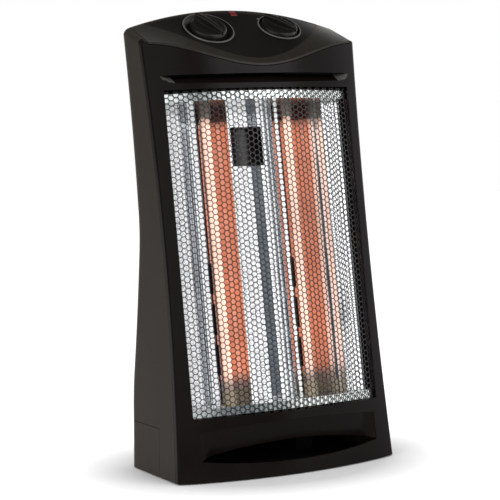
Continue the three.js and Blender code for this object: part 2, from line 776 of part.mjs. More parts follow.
// The flat between the reflectors, with two pressed ribs and the opening high up.
function middlePanel() {
  const front = middleDepth + sheet + seatGap;
  const reach = middleHalf - sheet / 2;
  const { from, to, depth } = middleRib;
  const right = [[from, front + depth], [to, front], [reach, front]];
  const folds = [...right.map(([x, y]) => [-x, y]).reverse(), ...right];
  const half = backWindow.width / 2;
  const top = (windowTop - windowBottom) / 2 - backWindow.fromTop + backWindow.height / 2;
  return foldedSheet(folds, reflectorLength)
    .subtract(box(-half, half, middleDepth, troughDepth, top - backWindow.height, top));
}

// The bright plate that closes the reflectors at one end, with a lip that follows the guard's bow.
function reflectorEnd(end) {
  const low = reflectorLength / 2 + seatGap;
  const reach = chassisHalf - sheet - seatGap;
  const edges = [-reach, ...guardEdges.slice(1, -1), reach];
  const bow = (behind) => edges.map((x) => [x, guardBack(x) + lipGap + behind]);
  const level = (outline, z0, z1) => {
    return upwards(outline, Math.min(end * z0, end * z1), Math.max(end * z0, end * z1));
  };
  const rear = chassisDepth - seatGap;
  const plate = level([...bow(0), [reach, rear], [-reach, rear]], low, low + sheet);
  const lip = level([...bow(0), ...bow(sheet).reverse()], low, low + lipHeight);
  const holes = [-1, 1].map((side) => {
    const hole = rod(lampCapRadius + seatGap, low - 2 * sheet, low + 2 * sheet, 20);
    return solid(placed(hole, (side * lampSpacing) / 2, lampDepth, end > 0 ? 0 : -2 * low));
  });
  return joined(plate, lip).subtract(joined(...holes));
}

function lampCap(end) {
  const inner = lampLength / 2 - lampCapGrip;
  const outer = inner + lampCapLength;
  const bore = tubeRadius + seatGap;
  const cap = turned([
    [0, outer], [lampCapRadius - 1.5, outer], [lampCapRadius, outer - 1.5], [lampCapRadius, inner],
    [bore, inner], [bore, lampLength / 2 + seatGap], [0, lampLength / 2 + seatGap],
  ], 16);
  return end > 0 ? solid(cap) : solid(cap.rotateX(Math.PI));
}

function chassis() {
  const half = chassisHalf;
  const high = chassisHeight / 2;
  const front = guardBack(half) + seatGap;
  const pan = upwards([
    [-half, front], [-half + sheet, front], [-half + sheet, chassisDepth],
    [half - sheet, chassisDepth], [half - sheet, front], [half, front],
    [half, chassisDepth + sheet], [-half, chassisDepth + sheet],
  ], -high, high);
  const ears = earPlaces.map(({ side, end }) => {
    const inner = side * (half - sheet / 2);
    const outer = side * (half + earWidth);
    const [x0, x1] = inner < outer ? [inner, outer] : [outer, inner];
    const z = end * earZ;
    return box(x0, x1, earDepth, earDepth + sheet, z - earHeight / 2, z + earHeight / 2);
  });
  const holes = earPlaces.map(({ side, end }) => {
    return solid(placed(rod(2, -10, 10, 12), side * earX, earDepth, end * earZ, Math.PI / 2));
  });
  return joined(pan, ...ears).subtract(joined(...holes));
}

function glandBush() {
  const inner = baseRear - wall - seatGap;
  const profile = [
    [gland.bore, baseRear - 0.2], [gland.radius, baseRear - 0.2], [gland.radius, inner],
    [gland.flange, inner], [gland.flange, inner - gland.flangeThickness],
    [gland.bore, inner - gland.flangeThickness], [gland.bore, baseRear - 0.2],
  ];
  return placed(turned(profile.map(([r, y]) => [r, -y]), 16), gland.x, 0, gland.z, Math.PI / 2);
}

function rubberFootShape() {
  const { radius, stem } = rubberFoot;
  const under = floorClearance - seatGap;
  const over = plateTop + seatGap;
  return turned([
    [0, 0], [radius - 0.6, 0], [radius, 0.6], [radius, under], [stem, under],
    [stem, over], [stem + 1.6, over], [stem, over + 3.5], [0, over + 3.5],
  ], 14);
}

// The tip-over switch: its plunger rests pressed in by the floor, with a spring above its head.
function tipSwitchParts() {
  const { x, y, width, depth, height, plunger } = tipSwitch;
  const bottom = plateTop + seatGap;
  const headTop = bottom + 12;
  const springTop = headTop + 11;
  const bore = plunger + 0.4;
  const block = box(x - width / 2, x + width / 2, y - depth / 2, y + depth / 2, bottom, bottom + height)
    .subtract(solid(placed(rod(bore, -5, springTop + seatGap, 20), x, y, 0)));
  const profile = [[0, 0], [plunger - 1, 0], [plunger, 1], [plunger, headTop], [0, headTop]];
  const pin = placed(turned(profile, 20), x, y, 0);
  return { block, pin, headTop, springTop };
}

class Helix extends THREE.Curve {
  constructor(radius, bottom, top, turns) {
    super();
    Object.assign(this, { radius, bottom, top, turns });
  }
  getPoint(t, target = new THREE.Vector3()) {
    const angle = t * this.turns * 2 * Math.PI;
    const z = this.bottom + (this.top - this.bottom) * t;
    return target.set(this.radius * Math.cos(angle), this.radius * Math.sin(angle), z);
  }
}

function tipSpring(bottom, top) {
  const wire = 0.35;
  const turns = 4;
  const around = arcPoints(0, 0, wire, 0, 1.6 * Math.PI, 4);
  const section = new THREE.Shape(around.map(([a, b]) => new THREE.Vector2(a, b)));
  const path = new Helix(tipSwitch.plunger - 1.2, bottom + wire + 0.3, top - wire - 0.1, turns);
  const gap = (path.top - path.bottom) / turns - 2 * wire;
  console.log("least gap between the spring's turns", gap.toFixed(2));
  return new THREE.ExtrudeGeometry(section, { extrudePath: path, steps: turns * 8, bevelEnabled: false });
}

const heater = new THREE.Group();
heater.name = "quartz_tower_heater";
heater.add(
  asMesh("front_bezel", frontBezel(), materials.bezel),
  asMesh("rear_housing", rearHousing(), materials.housing),
  asMesh("base_foot", baseFoot(), materials.housing),
  asMesh("base_plate", basePlate(), materials.housing),
  asMesh("top_cap", topCap(), materials.cap),
  asMesh("control_panel", controlPanel(), materials.panel),
  asMesh("indicator_lens", indicatorLens(), materials.red),
  asMesh("indicator_lamp", indicatorLamp(), materials.red),
  asMesh("cord_gland", glandBush(), materials.rubber),
);
addDial(heater, "thermostat", "thermostat_body", thermostat, dialFrames.thermostat);
addDial(heater, "selector", "selector_switch", selector, dialFrames.selector);

for (const { name, x, y } of footPlaces) {
  const foot = asMesh("rubber_foot_" + name, rubberFootShape(), materials.rubber);
  foot.position.set(x, y, 0);
  heater.add(foot);
}

const tip = tipSwitchParts();
const spring = asMesh("tip_spring", tipSpring(tip.headTop, tip.springTop), materials.steel);
spring.position.set(tipSwitch.x, tipSwitch.y, 0);
heater.add(
  asMesh("tip_switch_body", tip.block, materials.darkPlastic),
  asMesh("tip_plunger", tip.pin, materials.darkPlastic),
  spring,
);

heater.add(unit);
unit.add(
  asMesh("grille", grille(), materials.chrome),
  asMesh("reflector_left", reflector(-1), materials.reflector),
  asMesh("reflector_right", reflector(1), materials.reflector),
  asMesh("reflector_middle", middlePanel(), materials.reflector),
  asMesh("reflector_top_plate", reflectorEnd(1), materials.reflector),
  asMesh("reflector_bottom_plate", reflectorEnd(-1), materials.reflector),
  asMesh("chassis", chassis(), materials.steel),
);

for (const [side, name] of [[-1, "left"], [1, "right"]]) {
  const lamp = new THREE.Group();
  lamp.position.set((side * lampSpacing) / 2, lampDepth, 0);
  const half = lampLength / 2;
  const tube = tubeShape(tubeRadius, tubeRadius - tubeWall, -half, half, 16);
  lamp.add(
    asMesh("quartz_tube_" + name, tube, materials.quartz),
    asMesh("heating_coil_" + name, rod(coilRadius, -half, half, 12), materials.coil),
    asMesh("lamp_cap_top_" + name, lampCap(1), materials.ceramic),
    asMesh("lamp_cap_bottom_" + name, lampCap(-1), materials.ceramic),
  );
  unit.add(lamp);
}

for (const { side, end } of earPlaces) {
  const head = turned([[0, 0], [3.6, 0], [3.6, 1.4], [2, 2.4], [0, 2.4]], 12);
  const screw = asMesh(
    "chassis_screw_" + (end > 0 ? "top_" : "bottom_") + (side > 0 ? "right" : "left"),
    placed(head, 0, 0, 0, -Math.PI / 2),
    materials.steel,
  );
  screw.position.set(side * earX, earDepth + sheet + seatGap, end * earZ);
  unit.add(screw);
}

// The thermal cutout: an upright can on a foot that reaches back to the chassis.
const cutoutZ = (windowTop - windowBottom) / 2 - backWindow.fromTop;
const canRing = turned([
  [0, 0], [cutoutCan.radius - 1, 0], [cutoutCan.radius, 1], [cutoutCan.radius, cutoutCan.height - 1],
  [cutoutCan.radius - 1, cutoutCan.height], [0, cutoutCan.height],
], 20);
const canFoot = box(
  -cutoutCan.foot / 2, cutoutCan.foot / 2, 0, cutoutCan.back - seatGap,
  cutoutCan.foot / 2, cutoutCan.height - cutoutCan.foot / 2,
);
const cutoutMesh = asMesh("thermal_cutout", joined(solid(canRing), canFoot), materials.darkPlastic);
cutoutMesh.position.set(0, chassisDepth - cutoutCan.back, cutoutZ - cutoutCan.height / 2);
unit.add(cutoutMesh);

export default heater;
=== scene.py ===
import math
import bpy
import numpy as np
from mathutils import Matrix, Vector


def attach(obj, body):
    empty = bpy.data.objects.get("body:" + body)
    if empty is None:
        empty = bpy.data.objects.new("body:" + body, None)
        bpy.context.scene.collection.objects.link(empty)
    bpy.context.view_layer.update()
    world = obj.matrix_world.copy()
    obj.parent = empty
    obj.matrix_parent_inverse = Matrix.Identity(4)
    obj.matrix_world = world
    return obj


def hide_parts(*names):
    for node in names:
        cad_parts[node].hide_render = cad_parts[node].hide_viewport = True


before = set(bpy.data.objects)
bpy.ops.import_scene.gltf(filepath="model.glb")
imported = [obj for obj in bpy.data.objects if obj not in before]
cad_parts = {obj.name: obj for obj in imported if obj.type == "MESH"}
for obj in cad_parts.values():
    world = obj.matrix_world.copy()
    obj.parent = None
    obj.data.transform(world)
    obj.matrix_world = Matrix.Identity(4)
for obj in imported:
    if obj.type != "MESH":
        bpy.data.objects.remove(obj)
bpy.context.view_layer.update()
print("frame loaded")

# All sizes are in millimetres and are made metres where a mesh is written or moved.
metre = 0.001

tower = {
    "height": 580, "baseWidth": 298, "waistWidth": 281, "waistHeight": 285,
    "baseRear": 104, "topRear": 59.4, "rampSlope": 0.22, "rampStart": 100, "rampSoft": 25,
    "cornerDepth": 74, "cornerSlope": 0.055, "cornerCurve": 6.4e-5, "bowRadius": 385,
    "frontCorner": 6, "rearCorner": 36, "floorGap": 1.5, "wall": 3,
}
top = {
    "frontHeight": 503.7, "frontRise": 30, "ridgeDepth": 34, "ridgeDrop": 25.4, "bulge": 0.85,
    "rimRadius": 6, "capReach": 139.5, "capRear": 28, "capThickness": 2.5, "capGroove": 0.9,
    "deck": 2.7,
}
seams = {"setback": 10.5, "gap": 0.7, "footHeight": 61, "footDepth": -12}
fit = 0.3  # play between pieces that meet
# reach of the helper solids: outwards, sideways, below the floor, into the tower, down in its top, above it
far, beside, under, halfIn, inTop, over = 300, 200, -20, 40, 420, tower["height"] + 40


def halfWidth(z):
    rise = (z - tower["waistHeight"]) / tower["waistHeight"]
    return tower["waistWidth"] / 2 + (tower["baseWidth"] - tower["waistWidth"]) / 2 * rise * rise


def cornerY(z):
    return -tower["cornerDepth"] + tower["cornerSlope"] * z + tower["cornerCurve"] * z * z


def bowCentreY(z):
    return cornerY(z) + math.sqrt(tower["bowRadius"] ** 2 - halfWidth(z) ** 2)


def frontY(x, z):
    return bowCentreY(z) - math.sqrt(tower["bowRadius"] ** 2 - x * x)


def rearY(z):  # upright, a ramp with rounded ends, upright again
    soft = tower["rampSoft"]
    start = tower["rampStart"]
    run = (tower["baseRear"] - tower["topRear"]) / tower["rampSlope"]

    def rounded(t):
        return 0 if t < -soft else t if t > soft else (t + soft) ** 2 / (4 * soft)
    return tower["baseRear"] - tower["rampSlope"] * (rounded(z - start) - rounded(z - start - run))


def capFrontZ(x):
    return top["frontHeight"] + top["frontRise"] * math.sin(math.pi * x / tower["baseWidth"]) ** 2


def ridgeZ(x):
    return tower["height"] - top["ridgeDrop"] * (2 * x / tower["baseWidth"]) ** 2


def slopeZ(x, y):  # height of the sloping top in front of the ridge
    low = capFrontZ(x)
    front = frontY(min(abs(x), tower["baseWidth"] / 2 - 2), low)
    a = (y - front) / (top["ridgeDepth"] - front)
    steep = 2 / (1 + top["bulge"])
    bend = max(a - top["bulge"], 0)
    return low + (ridgeZ(x) - low) * (steep * a - steep * bend * bend / (2 * (1 - top["bulge"])))


def rimFall(x, y, z):  # how far the rounded rim has fallen: tight at the sides, wide at the rear
    corner = tower["rearCorner"]
    sideGap = halfWidth(z) - abs(x)
    rearGap = tower["topRear"] - y
    wide = tower["topRear"] - top["ridgeDepth"]
    if sideGap < corner and rearGap < corner:
        dx, dy = corner - sideGap, corner - rearGap
        gap = corner - math.hypot(dx, dy)
        radius = top["rimRadius"] + (wide - top["rimRadius"]) * math.sin(math.atan2(dy, dx)) ** 2
    elif rearGap < corner:
        gap, radius = rearGap, wide
    else:
        gap, radius = sideGap, top["rimRadius"]
    bend = min(max(radius - gap, 0), radius)
    return radius - math.sqrt(radius * radius - bend * bend)


def topZ(x, y):
    z = slopeZ(x, y) if y < top["ridgeDepth"] else ridgeZ(x)
    return z - rimFall(x, y, z)


def addObject(name, data):
    item = bpy.data.objects.new(name, data)
    bpy.context.scene.collection.objects.link(item)
    return item


def writeMesh(name, points, faces):
    mesh = bpy.data.meshes.new(name)
    mesh.from_pydata([tuple(c * metre for c in p) for p in points], [], faces)
    mesh.validate()
    mesh.update()
    return addObject(name, mesh)


def turnOutwards(piece):
    mesh = piece.data
    volume = 0
    for face in mesh.polygons:
        corners = [mesh.vertices[i].co for i in face.vertices]
        for b, c in zip(corners[1:], corners[2:]):
            volume += corners[0].dot(b.cross(c))
    if volume < 0:
        mesh.flip_normals()
    return piece


def loft(name, sections):  # a closed skin over sections with the same number of points
    count = len(sections[0])
    faces = []
    for s in range(len(sections) - 1):
        for i in range(count):
            a, b = s * count + i, s * count + (i + 1) % count
            faces.append((a, b, b + count, a + count))
    last = (len(sections) - 1) * count
    faces.append(tuple(reversed(range(count))))
    faces.append(tuple(range(last, last + count)))
    return turnOutwards(writeMesh(name, [p for s in sections for p in s], faces))


def prism(name, outline, low, high):
    return loft(name, [[(x, y, z) for x, y in outline] for z in (low, high)])


def block(name, half, front, rear, low=inTop, high=over, x=0):  # without heights it goes through the top
    ring = [(x - half, front), (x + half, front), (x + half, rear), (x - half, rear)]
    return prism(name, ring, low, high)


def lathe(name, profile, steps=96):
    points, faces, rings = [], [], []
    for r, z in profile:
        if r == 0:
            rings.append([len(points)])
            points.append((0, 0, z))
        else:
            rings.append(list(range(len(points), len(points) + steps)))
            turns = [2 * math.pi * i / steps for i in range(steps)]
            points += [(r * math.cos(turn), r * math.sin(turn), z) for turn in turns]
    closed = profile[0][0] > 0
    pairs = list(zip(rings, rings[1:])) + ([(rings[-1], rings[0])] if closed else [])
    for low, high in pairs:
        for i in range(steps):
            j = (i + 1) % steps
            ring = [low[i % len(low)], low[j % len(low)], high[j % len(high)], high[i % len(high)]]
            face = tuple(dict.fromkeys(ring))
            if len(face) > 2:
                faces.append(face)
    return turnOutwards(writeMesh(name, points, faces))


def rod(name, radius, low, high, steps=96):
    return lathe(name, [(0, low), (radius, low), (radius, high), (0, high)], steps)


def arc(cx, cy, radius, start, end, steps):
    angles = np.linspace(start, end, steps + 1)
    return [(cx + radius * math.cos(t), cy + radius * math.sin(t)) for t in angles]


def shift(x, y, z):
    return Matrix.Translation(Vector((x, y, z)) * metre)


def placedBy(piece, matrix):
    piece.data.transform(matrix)
    return piece


def settle(piece):  # the evaluated mesh becomes the piece's own
    bpy.context.view_layer.update()
    evaluated = piece.evaluated_get(bpy.context.evaluated_depsgraph_get())
    made = bpy.data.meshes.new_from_object(evaluated)
    piece.modifiers.clear()
    piece.data = made
    made.name = piece.name
    return piece


def combine(piece, others, operation):  # changes the piece by the helpers, then drops them
    for other in others:
        modifier = piece.modifiers.new("combine", "BOOLEAN")
        modifier.operation = operation
        modifier.solver = "MANIFOLD"
        modifier.object = other
    settle(piece)
    for other in others:
        bpy.data.objects.remove(other)
    return piece


def cut(piece, *others):
    return combine(piece, others, "DIFFERENCE")


def trim(piece, *others):
    return combine(piece, others, "INTERSECT")


def join(piece, *others):
    return combine(piece, others, "UNION")


def copyOf(piece, name):
    return addObject(name, piece.data.copy())


def smoothed(piece, degrees):
    mesh = piece.data
    mesh.polygons.foreach_set("use_smooth", [True] * len(mesh.polygons))
    mesh.set_sharp_from_angle(angle=math.radians(degrees))
    modifier = piece.modifiers.new("weights", "WEIGHTED_NORMAL")
    modifier.keep_sharp = True
    return settle(piece)


planSteps = {"corner": 6, "bow": 72, "side": 8, "rearCorner": 14}


def planOutline(z, inset):
    half = halfWidth(z) - inset
    bow = tower["bowRadius"] - inset
    corner = max(tower["frontCorner"] - inset, 1.5)
    rearCorner = tower["rearCorner"] - inset
    centreX = half - corner
    swing = math.asin(centreX / (bow - corner))
    centreY = bowCentreY(z) - (bow - corner) * math.cos(swing)
    rearStart = rearY(z) - inset - rearCorner
    down = -math.pi / 2
    small, wide = planSteps["corner"], planSteps["rearCorner"]
    shares = [i / planSteps["side"] for i in range(1, planSteps["side"])]
    right = [(half, centreY + (rearStart - centreY) * t) for t in shares]
    return (
        arc(-centreX, centreY, corner, -math.pi, down - swing, small)
        + arc(0, bowCentreY(z), bow, down - swing, down + swing, planSteps["bow"])[1:-1]
        + arc(centreX, centreY, corner, down + swing, 0, small)
        + right
        + arc(half - rearCorner, rearStart, rearCorner, 0, math.pi / 2, wide)
        + arc(rearCorner - half, rearStart, rearCorner, math.pi / 2, math.pi, wide)
        + [(-x, y) for x, y in reversed(right)]
    )


def towerSolid(name, inset, bottom):
    levels = [bottom] + list(np.arange(12, tower["height"] + 20, 10.0))
    return loft(name, [[(x, y, z) for x, y in planOutline(z, inset)] for z in levels])


def mirrored(right):
    return [-x for x in reversed(right[1:])] + right


# Stations of the top's skin, closer together where its rim is round: first, last, count.
topX = ((0, 100, 21), (102.5, 136, 15), (137, tower["baseWidth"] / 2 + 1, 22))
topY = ((-140, -70, 3), (-62, 20, 21), (22, tower["topRear"], 26))
behindTop = 130


def underTop(name, drop):  # everything under the top surface lowered by the drop
    right, ys = ([s for run in runs for s in np.linspace(*run)] for runs in (topX, topY))
    sections = []
    for x in mirrored(right):
        line = [(x, y, topZ(x, y) - drop) for y in ys]
        end = line[-1][2] - 0.5
        sections.append([(x, ys[0], under)] + line + [(x, behindTop, end), (x, behindTop, under)])
    return loft(name, sections)


deckDrop = top["capThickness"] + top["capGroove"]
shell = trim(towerSolid("shell", 0, tower["floorGap"]), underTop("crown", 0))
cut(shell, trim(towerSolid("cavity", tower["wall"], under), underTop("deckFloor", deckDrop + top["deck"])))
print("shell made", len(shell.data.polygons))


def beforeSeam(offset):
    edge = [(cornerY(z) + seams["setback"] + offset, z) for z in np.linspace(under, over, 60)]
    profile = [(-far, under)] + edge + [(-far, over)]
    return loft("ahead", [[(x, y, z) for y, z in profile] for x in (-beside, beside)])


def footRegion(gap):
    return block("foot", far, seams["footDepth"] + gap, far, under, seams["footHeight"] - gap)


panel = {
    "front": 50.5, "radius": 136, "recess": 1, "thickness": 2, "gap": 0.5, "lip": 3.5,
    "dishDepth": 4, "dishWall": 2, "ringHeight": 1.8, "ringWidth": 2.4, "rimBand": (1.7, 0.1, 1.1),
    "roomGap": 0.6, "room": (-30, 1.5),
}
dials = {
    "thermostat": {"x": -46.5, "y": -2.6, "ring": 33.5, "turn": -60},
    "selector": {"x": 54, "y": 0, "ring": 29, "turn": -45},
}
indicator = {
    "width": 9, "length": 8.5, "rear": 27.4, "depth": 4.5, "sunk": 0.2,
    "notchHalf": 6.5, "notchGap": 2, "notchBottom": 540,
}
lensFront = indicator["rear"] - indicator["length"]


def panelLens(inset):
    radius = panel["radius"] - inset
    centre = panel["radius"] - panel["front"]
    reach = math.acos((centre - (top["capRear"] - inset)) / radius)
    down = -math.pi / 2
    return prism("lens", arc(0, centre, radius, down - reach, down + reach, 120), inTop, over)


def dialMatrix(dial):  # Z square to the slope, origin on the panel's face
    x, y, step = dial["x"], dial["y"], 4
    tilt = math.atan((slopeZ(x, y + step) - slopeZ(x, y - step)) / (2 * step))
    return shift(x, y, slopeZ(x, y) - panel["recess"]) @ Matrix.Rotation(tilt, 4, "X")


def dialRoom(dial):
    return placedBy(rod("room", dial["ring"] + panel["roomGap"], *panel["room"]), dialMatrix(dial))


def cutCapSeat(piece):
    rear = top["capRear"] + fit
    seat = block("seat", top["capReach"] + seams["gap"] / 2, -far, rear)
    cut(seat, underTop("seatFloor", deckDrop))
    notch = block("notch", indicator["notchHalf"], lensFront - indicator["notchGap"], rear,
                  indicator["notchBottom"])
    return cut(piece, seat, panelLens(panel["lip"]), notch, *(dialRoom(dial) for dial in dials.values()))


bezel = {
    "windowWidth": 253, "windowBottom": 77.5, "windowTop": 473.5,
    "barWidth": 259, "barCeiling": 491.5, "barDepth": 16, "barLip": 477, "barLipRise": 3, "barFacet": 17,
    "scoopWidth": 240, "scoopDepth": 15, "scoopFacet": 20, "scoopTop": 67.5, "scoopBend": (7, 14.5, 8),
    "scoopKnees": (20, 15, 10, 5, 2), "inletTop": 41.5, "inletLip": 18, "inletDepth": 12,
    "proud": 4, "cover": 4, "barEnd": (0.5, 0.6),
}


def barSection(x, grow):
    half = bezel["barWidth"] / 2
    ceiling = bezel["barCeiling"]
    depth = bezel["barDepth"] * min(1, max(0.02, (half - abs(x)) / bezel["barFacet"]))
    lip = bezel["barLip"] + bezel["barLipRise"] * (x / half) ** 2
    out = 1 if grow > 0 else -bezel["proud"]
    deep = frontY(x, ceiling) + depth + grow
    return [(x, frontY(x, ceiling) + out, ceiling + grow), (x, deep, ceiling + grow),
            (x, deep, ceiling - 0.6 - grow * 0.3), (x, frontY(x, lip) + out, lip - grow)]


def mirroredStations(half, knees, step=6):
    return mirrored(sorted(set(list(np.arange(0, half, step)) + knees + [half])))


def recessBar(grow):
    half = bezel["barWidth"] / 2
    return loft("bar", [barSection(x, grow) for x in mirroredStations(half, [half - bezel["barFacet"]])])


def scoopShape(x):
    half = bezel["scoopWidth"] / 2
    reach = min(1, max(0.03, (half - abs(x)) / bezel["scoopFacet"]))
    topBend, inletBend, lipBend = (bend * (x / half) ** 2 for bend in bezel["scoopBend"])
    return (bezel["scoopDepth"] * math.sin(reach * math.pi / 2), bezel["scoopTop"] - topBend,
            bezel["inletTop"] - inletBend, bezel["inletLip"] + lipBend)


def scoopSolid(make):
    half = bezel["scoopWidth"] / 2
    stations = mirroredStations(half, [half - knee for knee in bezel["scoopKnees"]])
    return loft("scoop", [[(x, y, z) for y, z in make(x, *scoopShape(x))] for x in stations])


def scoopPocket(x, depth, high, upper, lip):
    rear = depth + bezel["inletDepth"]
    return [(frontY(x, high) - bezel["proud"], high), (frontY(x, high), high),
            (frontY(x, upper) + depth, upper), (frontY(x, upper) + rear, upper),
            (frontY(x, lip) + rear, lip), (frontY(x, lip) - bezel["proud"], lip)]


def scoopBacking(x, depth, high, upper, lip):
    deep = frontY(x, upper) + depth + tower["wall"]
    return [(frontY(x, high) + 1, high + bezel["cover"]), (deep, upper + bezel["cover"]), (deep, upper),
            (frontY(x, upper) + 1, upper)]


def makeBezel():
    piece = trim(copyOf(shell, "frontBezel"), beforeSeam(-seams["gap"] / 2))
    cut(piece, footRegion(-seams["gap"]))
    backing = join(recessBar(tower["wall"]), scoopSolid(scoopBacking))
    join(piece, trim(backing, towerSolid("inside", 0.5, under)))
    cutCapSeat(piece)
    opening = block("opening", bezel["windowWidth"] / 2, -far, halfIn, bezel["windowBottom"],
                    bezel["windowTop"])
    return cut(piece, recessBar(0), scoopSolid(scoopPocket), opening)


louvre = {"width": 46, "height": 3.6, "pitch": 11, "count": 9, "bottom": 340, "apart": 62}


def makeHousing():
    piece = copyOf(shell, "rearHousing")
    cut(piece, beforeSeam(seams["gap"] / 2), footRegion(-seams["gap"] / 2))
    levels = [louvre["bottom"] + i * louvre["pitch"] for i in range(louvre["count"])]
    louvres = [block("louvre", louvre["width"] / 2, halfIn, far, z, z + louvre["height"],
                     side * louvre["apart"] / 2) for side in (-1, 1) for z in levels]
    return cut(cutCapSeat(piece), *louvres)


gland = {"x": -60, "z": 32, "radius": 8.4, "reach": 30}


def makeFoot():
    piece = trim(copyOf(shell, "baseFoot"), footRegion(seams["gap"] / 2))
    hole = rod("hole", gland["radius"], -gland["reach"], gland["reach"], 48)
    placedBy(hole, shift(gland["x"], tower["baseRear"], gland["z"]) @ Matrix.Rotation(math.pi / 2, 4, "X"))
    return cut(piece, beforeSeam(seams["gap"] / 2), hole)


def makeCap():
    piece = cut(underTop("topCap", 0), underTop("capUnder", top["capThickness"]))
    trim(piece, block("keep", top["capReach"] - seams["gap"] / 2, -far, top["capRear"] - fit))
    trim(piece, towerSolid("walls", 0, 0))
    return cut(piece, panelLens(0))


knobSize = {
    "radius": 24.5, "height": 18, "skirt": 9, "fin": 9, "finLean": 0.8, "clearance": 1.1, "bore": 3.3,
    "voxel": 0.42,
}


def dishSolids(dial):
    ring, depth = dial["ring"], panel["dishDepth"]
    bottom = -depth - panel["dishWall"]
    high, inner = panel["ringHeight"], ring - panel["ringWidth"]
    floor = knobSize["radius"] + knobSize["clearance"]
    cup = [(0, bottom), (ring - 1.5, bottom), (ring, 0), (ring, high - 0.9), (ring - 0.4, high - 0.25),
           (ring - 1, high), (0, high)]
    hollow = [(0, -depth), (floor - 0.6, -depth), (floor, -depth + 0.6), (inner, high - 0.8),
              (inner + 0.5, high + 0.05), (inner + 0.5, high + 3), (0, high + 3)]
    solids = [lathe("cup", cup, 160), lathe("hollow", hollow, 160),
              rod("bore", knobSize["bore"], bottom - 5, 5, 160)]
    return [placedBy(solid, dialMatrix(dial)) for solid in solids]


def makePanel():
    depth = panel["recess"]
    piece = cut(underTop("controlPanel", depth), underTop("panelUnder", depth + panel["thickness"]))
    trim(piece, panelLens(panel["gap"]))
    cups, cutters = [], []
    for dial in dials.values():
        cup, *hollows = dishSolids(dial)
        cups.append(cup)
        cutters += hollows
    cutters.append(block("lensHole", indicator["width"] / 2 + fit, lensFront - fit, top["capRear"] + 5))
    return cut(join(piece, *cups), *cutters)


def makeIndicator():
    piece = block("indicatorLens", indicator["width"] / 2, lensFront, indicator["rear"])
    trim(piece, underTop("lensTop", indicator["sunk"]))
    return cut(piece, underTop("lensUnder", indicator["depth"]))


bezelPiece = makeBezel()
housingPiece = makeHousing()
footPiece = makeFoot()
capPiece = makeCap()
panelPiece = makePanel()
lensPiece = makeIndicator()
bpy.data.objects.remove(shell)
for piece in (bezelPiece, housingPiece, footPiece, capPiece, panelPiece, lensPiece):
    smoothed(piece, 20 if piece == bezelPiece else 32)
    print(piece.name, len(piece.data.polygons), "faces")


def melted(piece):  # rounds the edges as a mould would
    remesh = piece.modifiers.new("melt", "REMESH")
    remesh.mode = "VOXEL"
    remesh.voxel_size = knobSize["voxel"] * metre
    soft = piece.modifiers.new("soft", "SMOOTH")
    soft.factor = 0.5
    soft.iterations = 4
    return settle(piece)


def finSection(t):  # the fin's left and right edges in plan, from its thick rear end to its thin front end
    bend = math.sin(math.pi * t)
    middle = 1.8 * bend - 0.6
    wide = (0.62 - 0.30 * t) * knobSize["fin"] / 2 + 1.1 * bend
    return middle - wide, middle + wide


def makeKnob(name, dial):
    radius, skirt, lean = knobSize["radius"], knobSize["skirt"], knobSize["finLean"]
    profile = [(0, 0), (radius - 0.6, 0), (radius, 0.8), (radius, skirt * 0.3), (radius - 0.5, skirt * 0.6),
               (radius - 1.6, skirt * 0.86), (radius - 3.4, skirt), (radius - 5.4, skirt * 0.98),
               (radius * 0.62, skirt * 0.84), (radius * 0.3, skirt * 0.74), (0, skirt * 0.72)]
    sections = []
    for t in np.linspace(0, 1, 25):
        x = (2 * t - 1) * (radius - 1.6)
        left, right = finSection(t)
        crown = knobSize["height"] - 1.2 - 3.2 * t * t - 1.6 * (1 - t) ** 3
        sections.append([(x, left - lean, 1), (x, right + lean, 1), (x, right, crown - 1.6),
                         (x, right - 1.2, crown - 0.2), (x, (left + right) / 2, crown),
                         (x, left + 1.2, crown - 0.2), (x, left, crown - 1.6)])
    piece = join(lathe(name, profile, 128), loft("fin", sections))
    cut(piece, rod("socket", knobSize["bore"], -2, skirt * 0.6, 32))
    turn = Matrix.Rotation(math.radians(dial["turn"]), 4, "Z")
    placedBy(melted(piece), dialMatrix(dial) @ shift(0, 0, -panel["dishDepth"] + fit) @ turn)
    return smoothed(piece, 60)


knobPieces = {name: makeKnob(name + "Knob", dial) for name, dial in dials.items()}
print("knobs made", [len(k.data.polygons) for k in knobPieces.values()])

# The heating unit leans with the bowed front.
unitLow, unitHigh = bezel["windowBottom"], bezel["windowTop"]
lowFront, highFront = frontY(0, unitLow), frontY(0, unitHigh)
unitLean = math.atan2(highFront - lowFront, unitHigh - unitLow)
unitMatrix = (shift(0, (lowFront + highFront) / 2, (unitHigh + unitLow) / 2)
              @ Matrix.Rotation(-unitLean, 4, "X"))


def feed(tree, value, socket):
    if isinstance(value, bpy.types.NodeSocket):
        tree.links.new(value, socket)
    else:
        socket.default_value = value


def fill(tree, sockets, values):
    for key, value in values.items():
        feed(tree, value, sockets[key])


def addNode(tree, kind, inputs=None, **settings):
    node = tree.nodes.new(kind)
    for key, value in settings.items():
        setattr(node, key, value)
    fill(tree, node.inputs, inputs or {})
    return node.outputs


def maths(tree, operation, *values):
    return addNode(tree, "ShaderNodeMath", dict(enumerate(values)), operation=operation)[0]


def axes(tree, vector):
    return addNode(tree, "ShaderNodeSeparateXYZ", {0: vector})


guard = {
    "pitch": 6.91, "hole": 0.855, "thickness": 0.8, "columns": 43, "rows": 58, "gap": 3.45,
    "weld": 2e-5,  # in metres
}


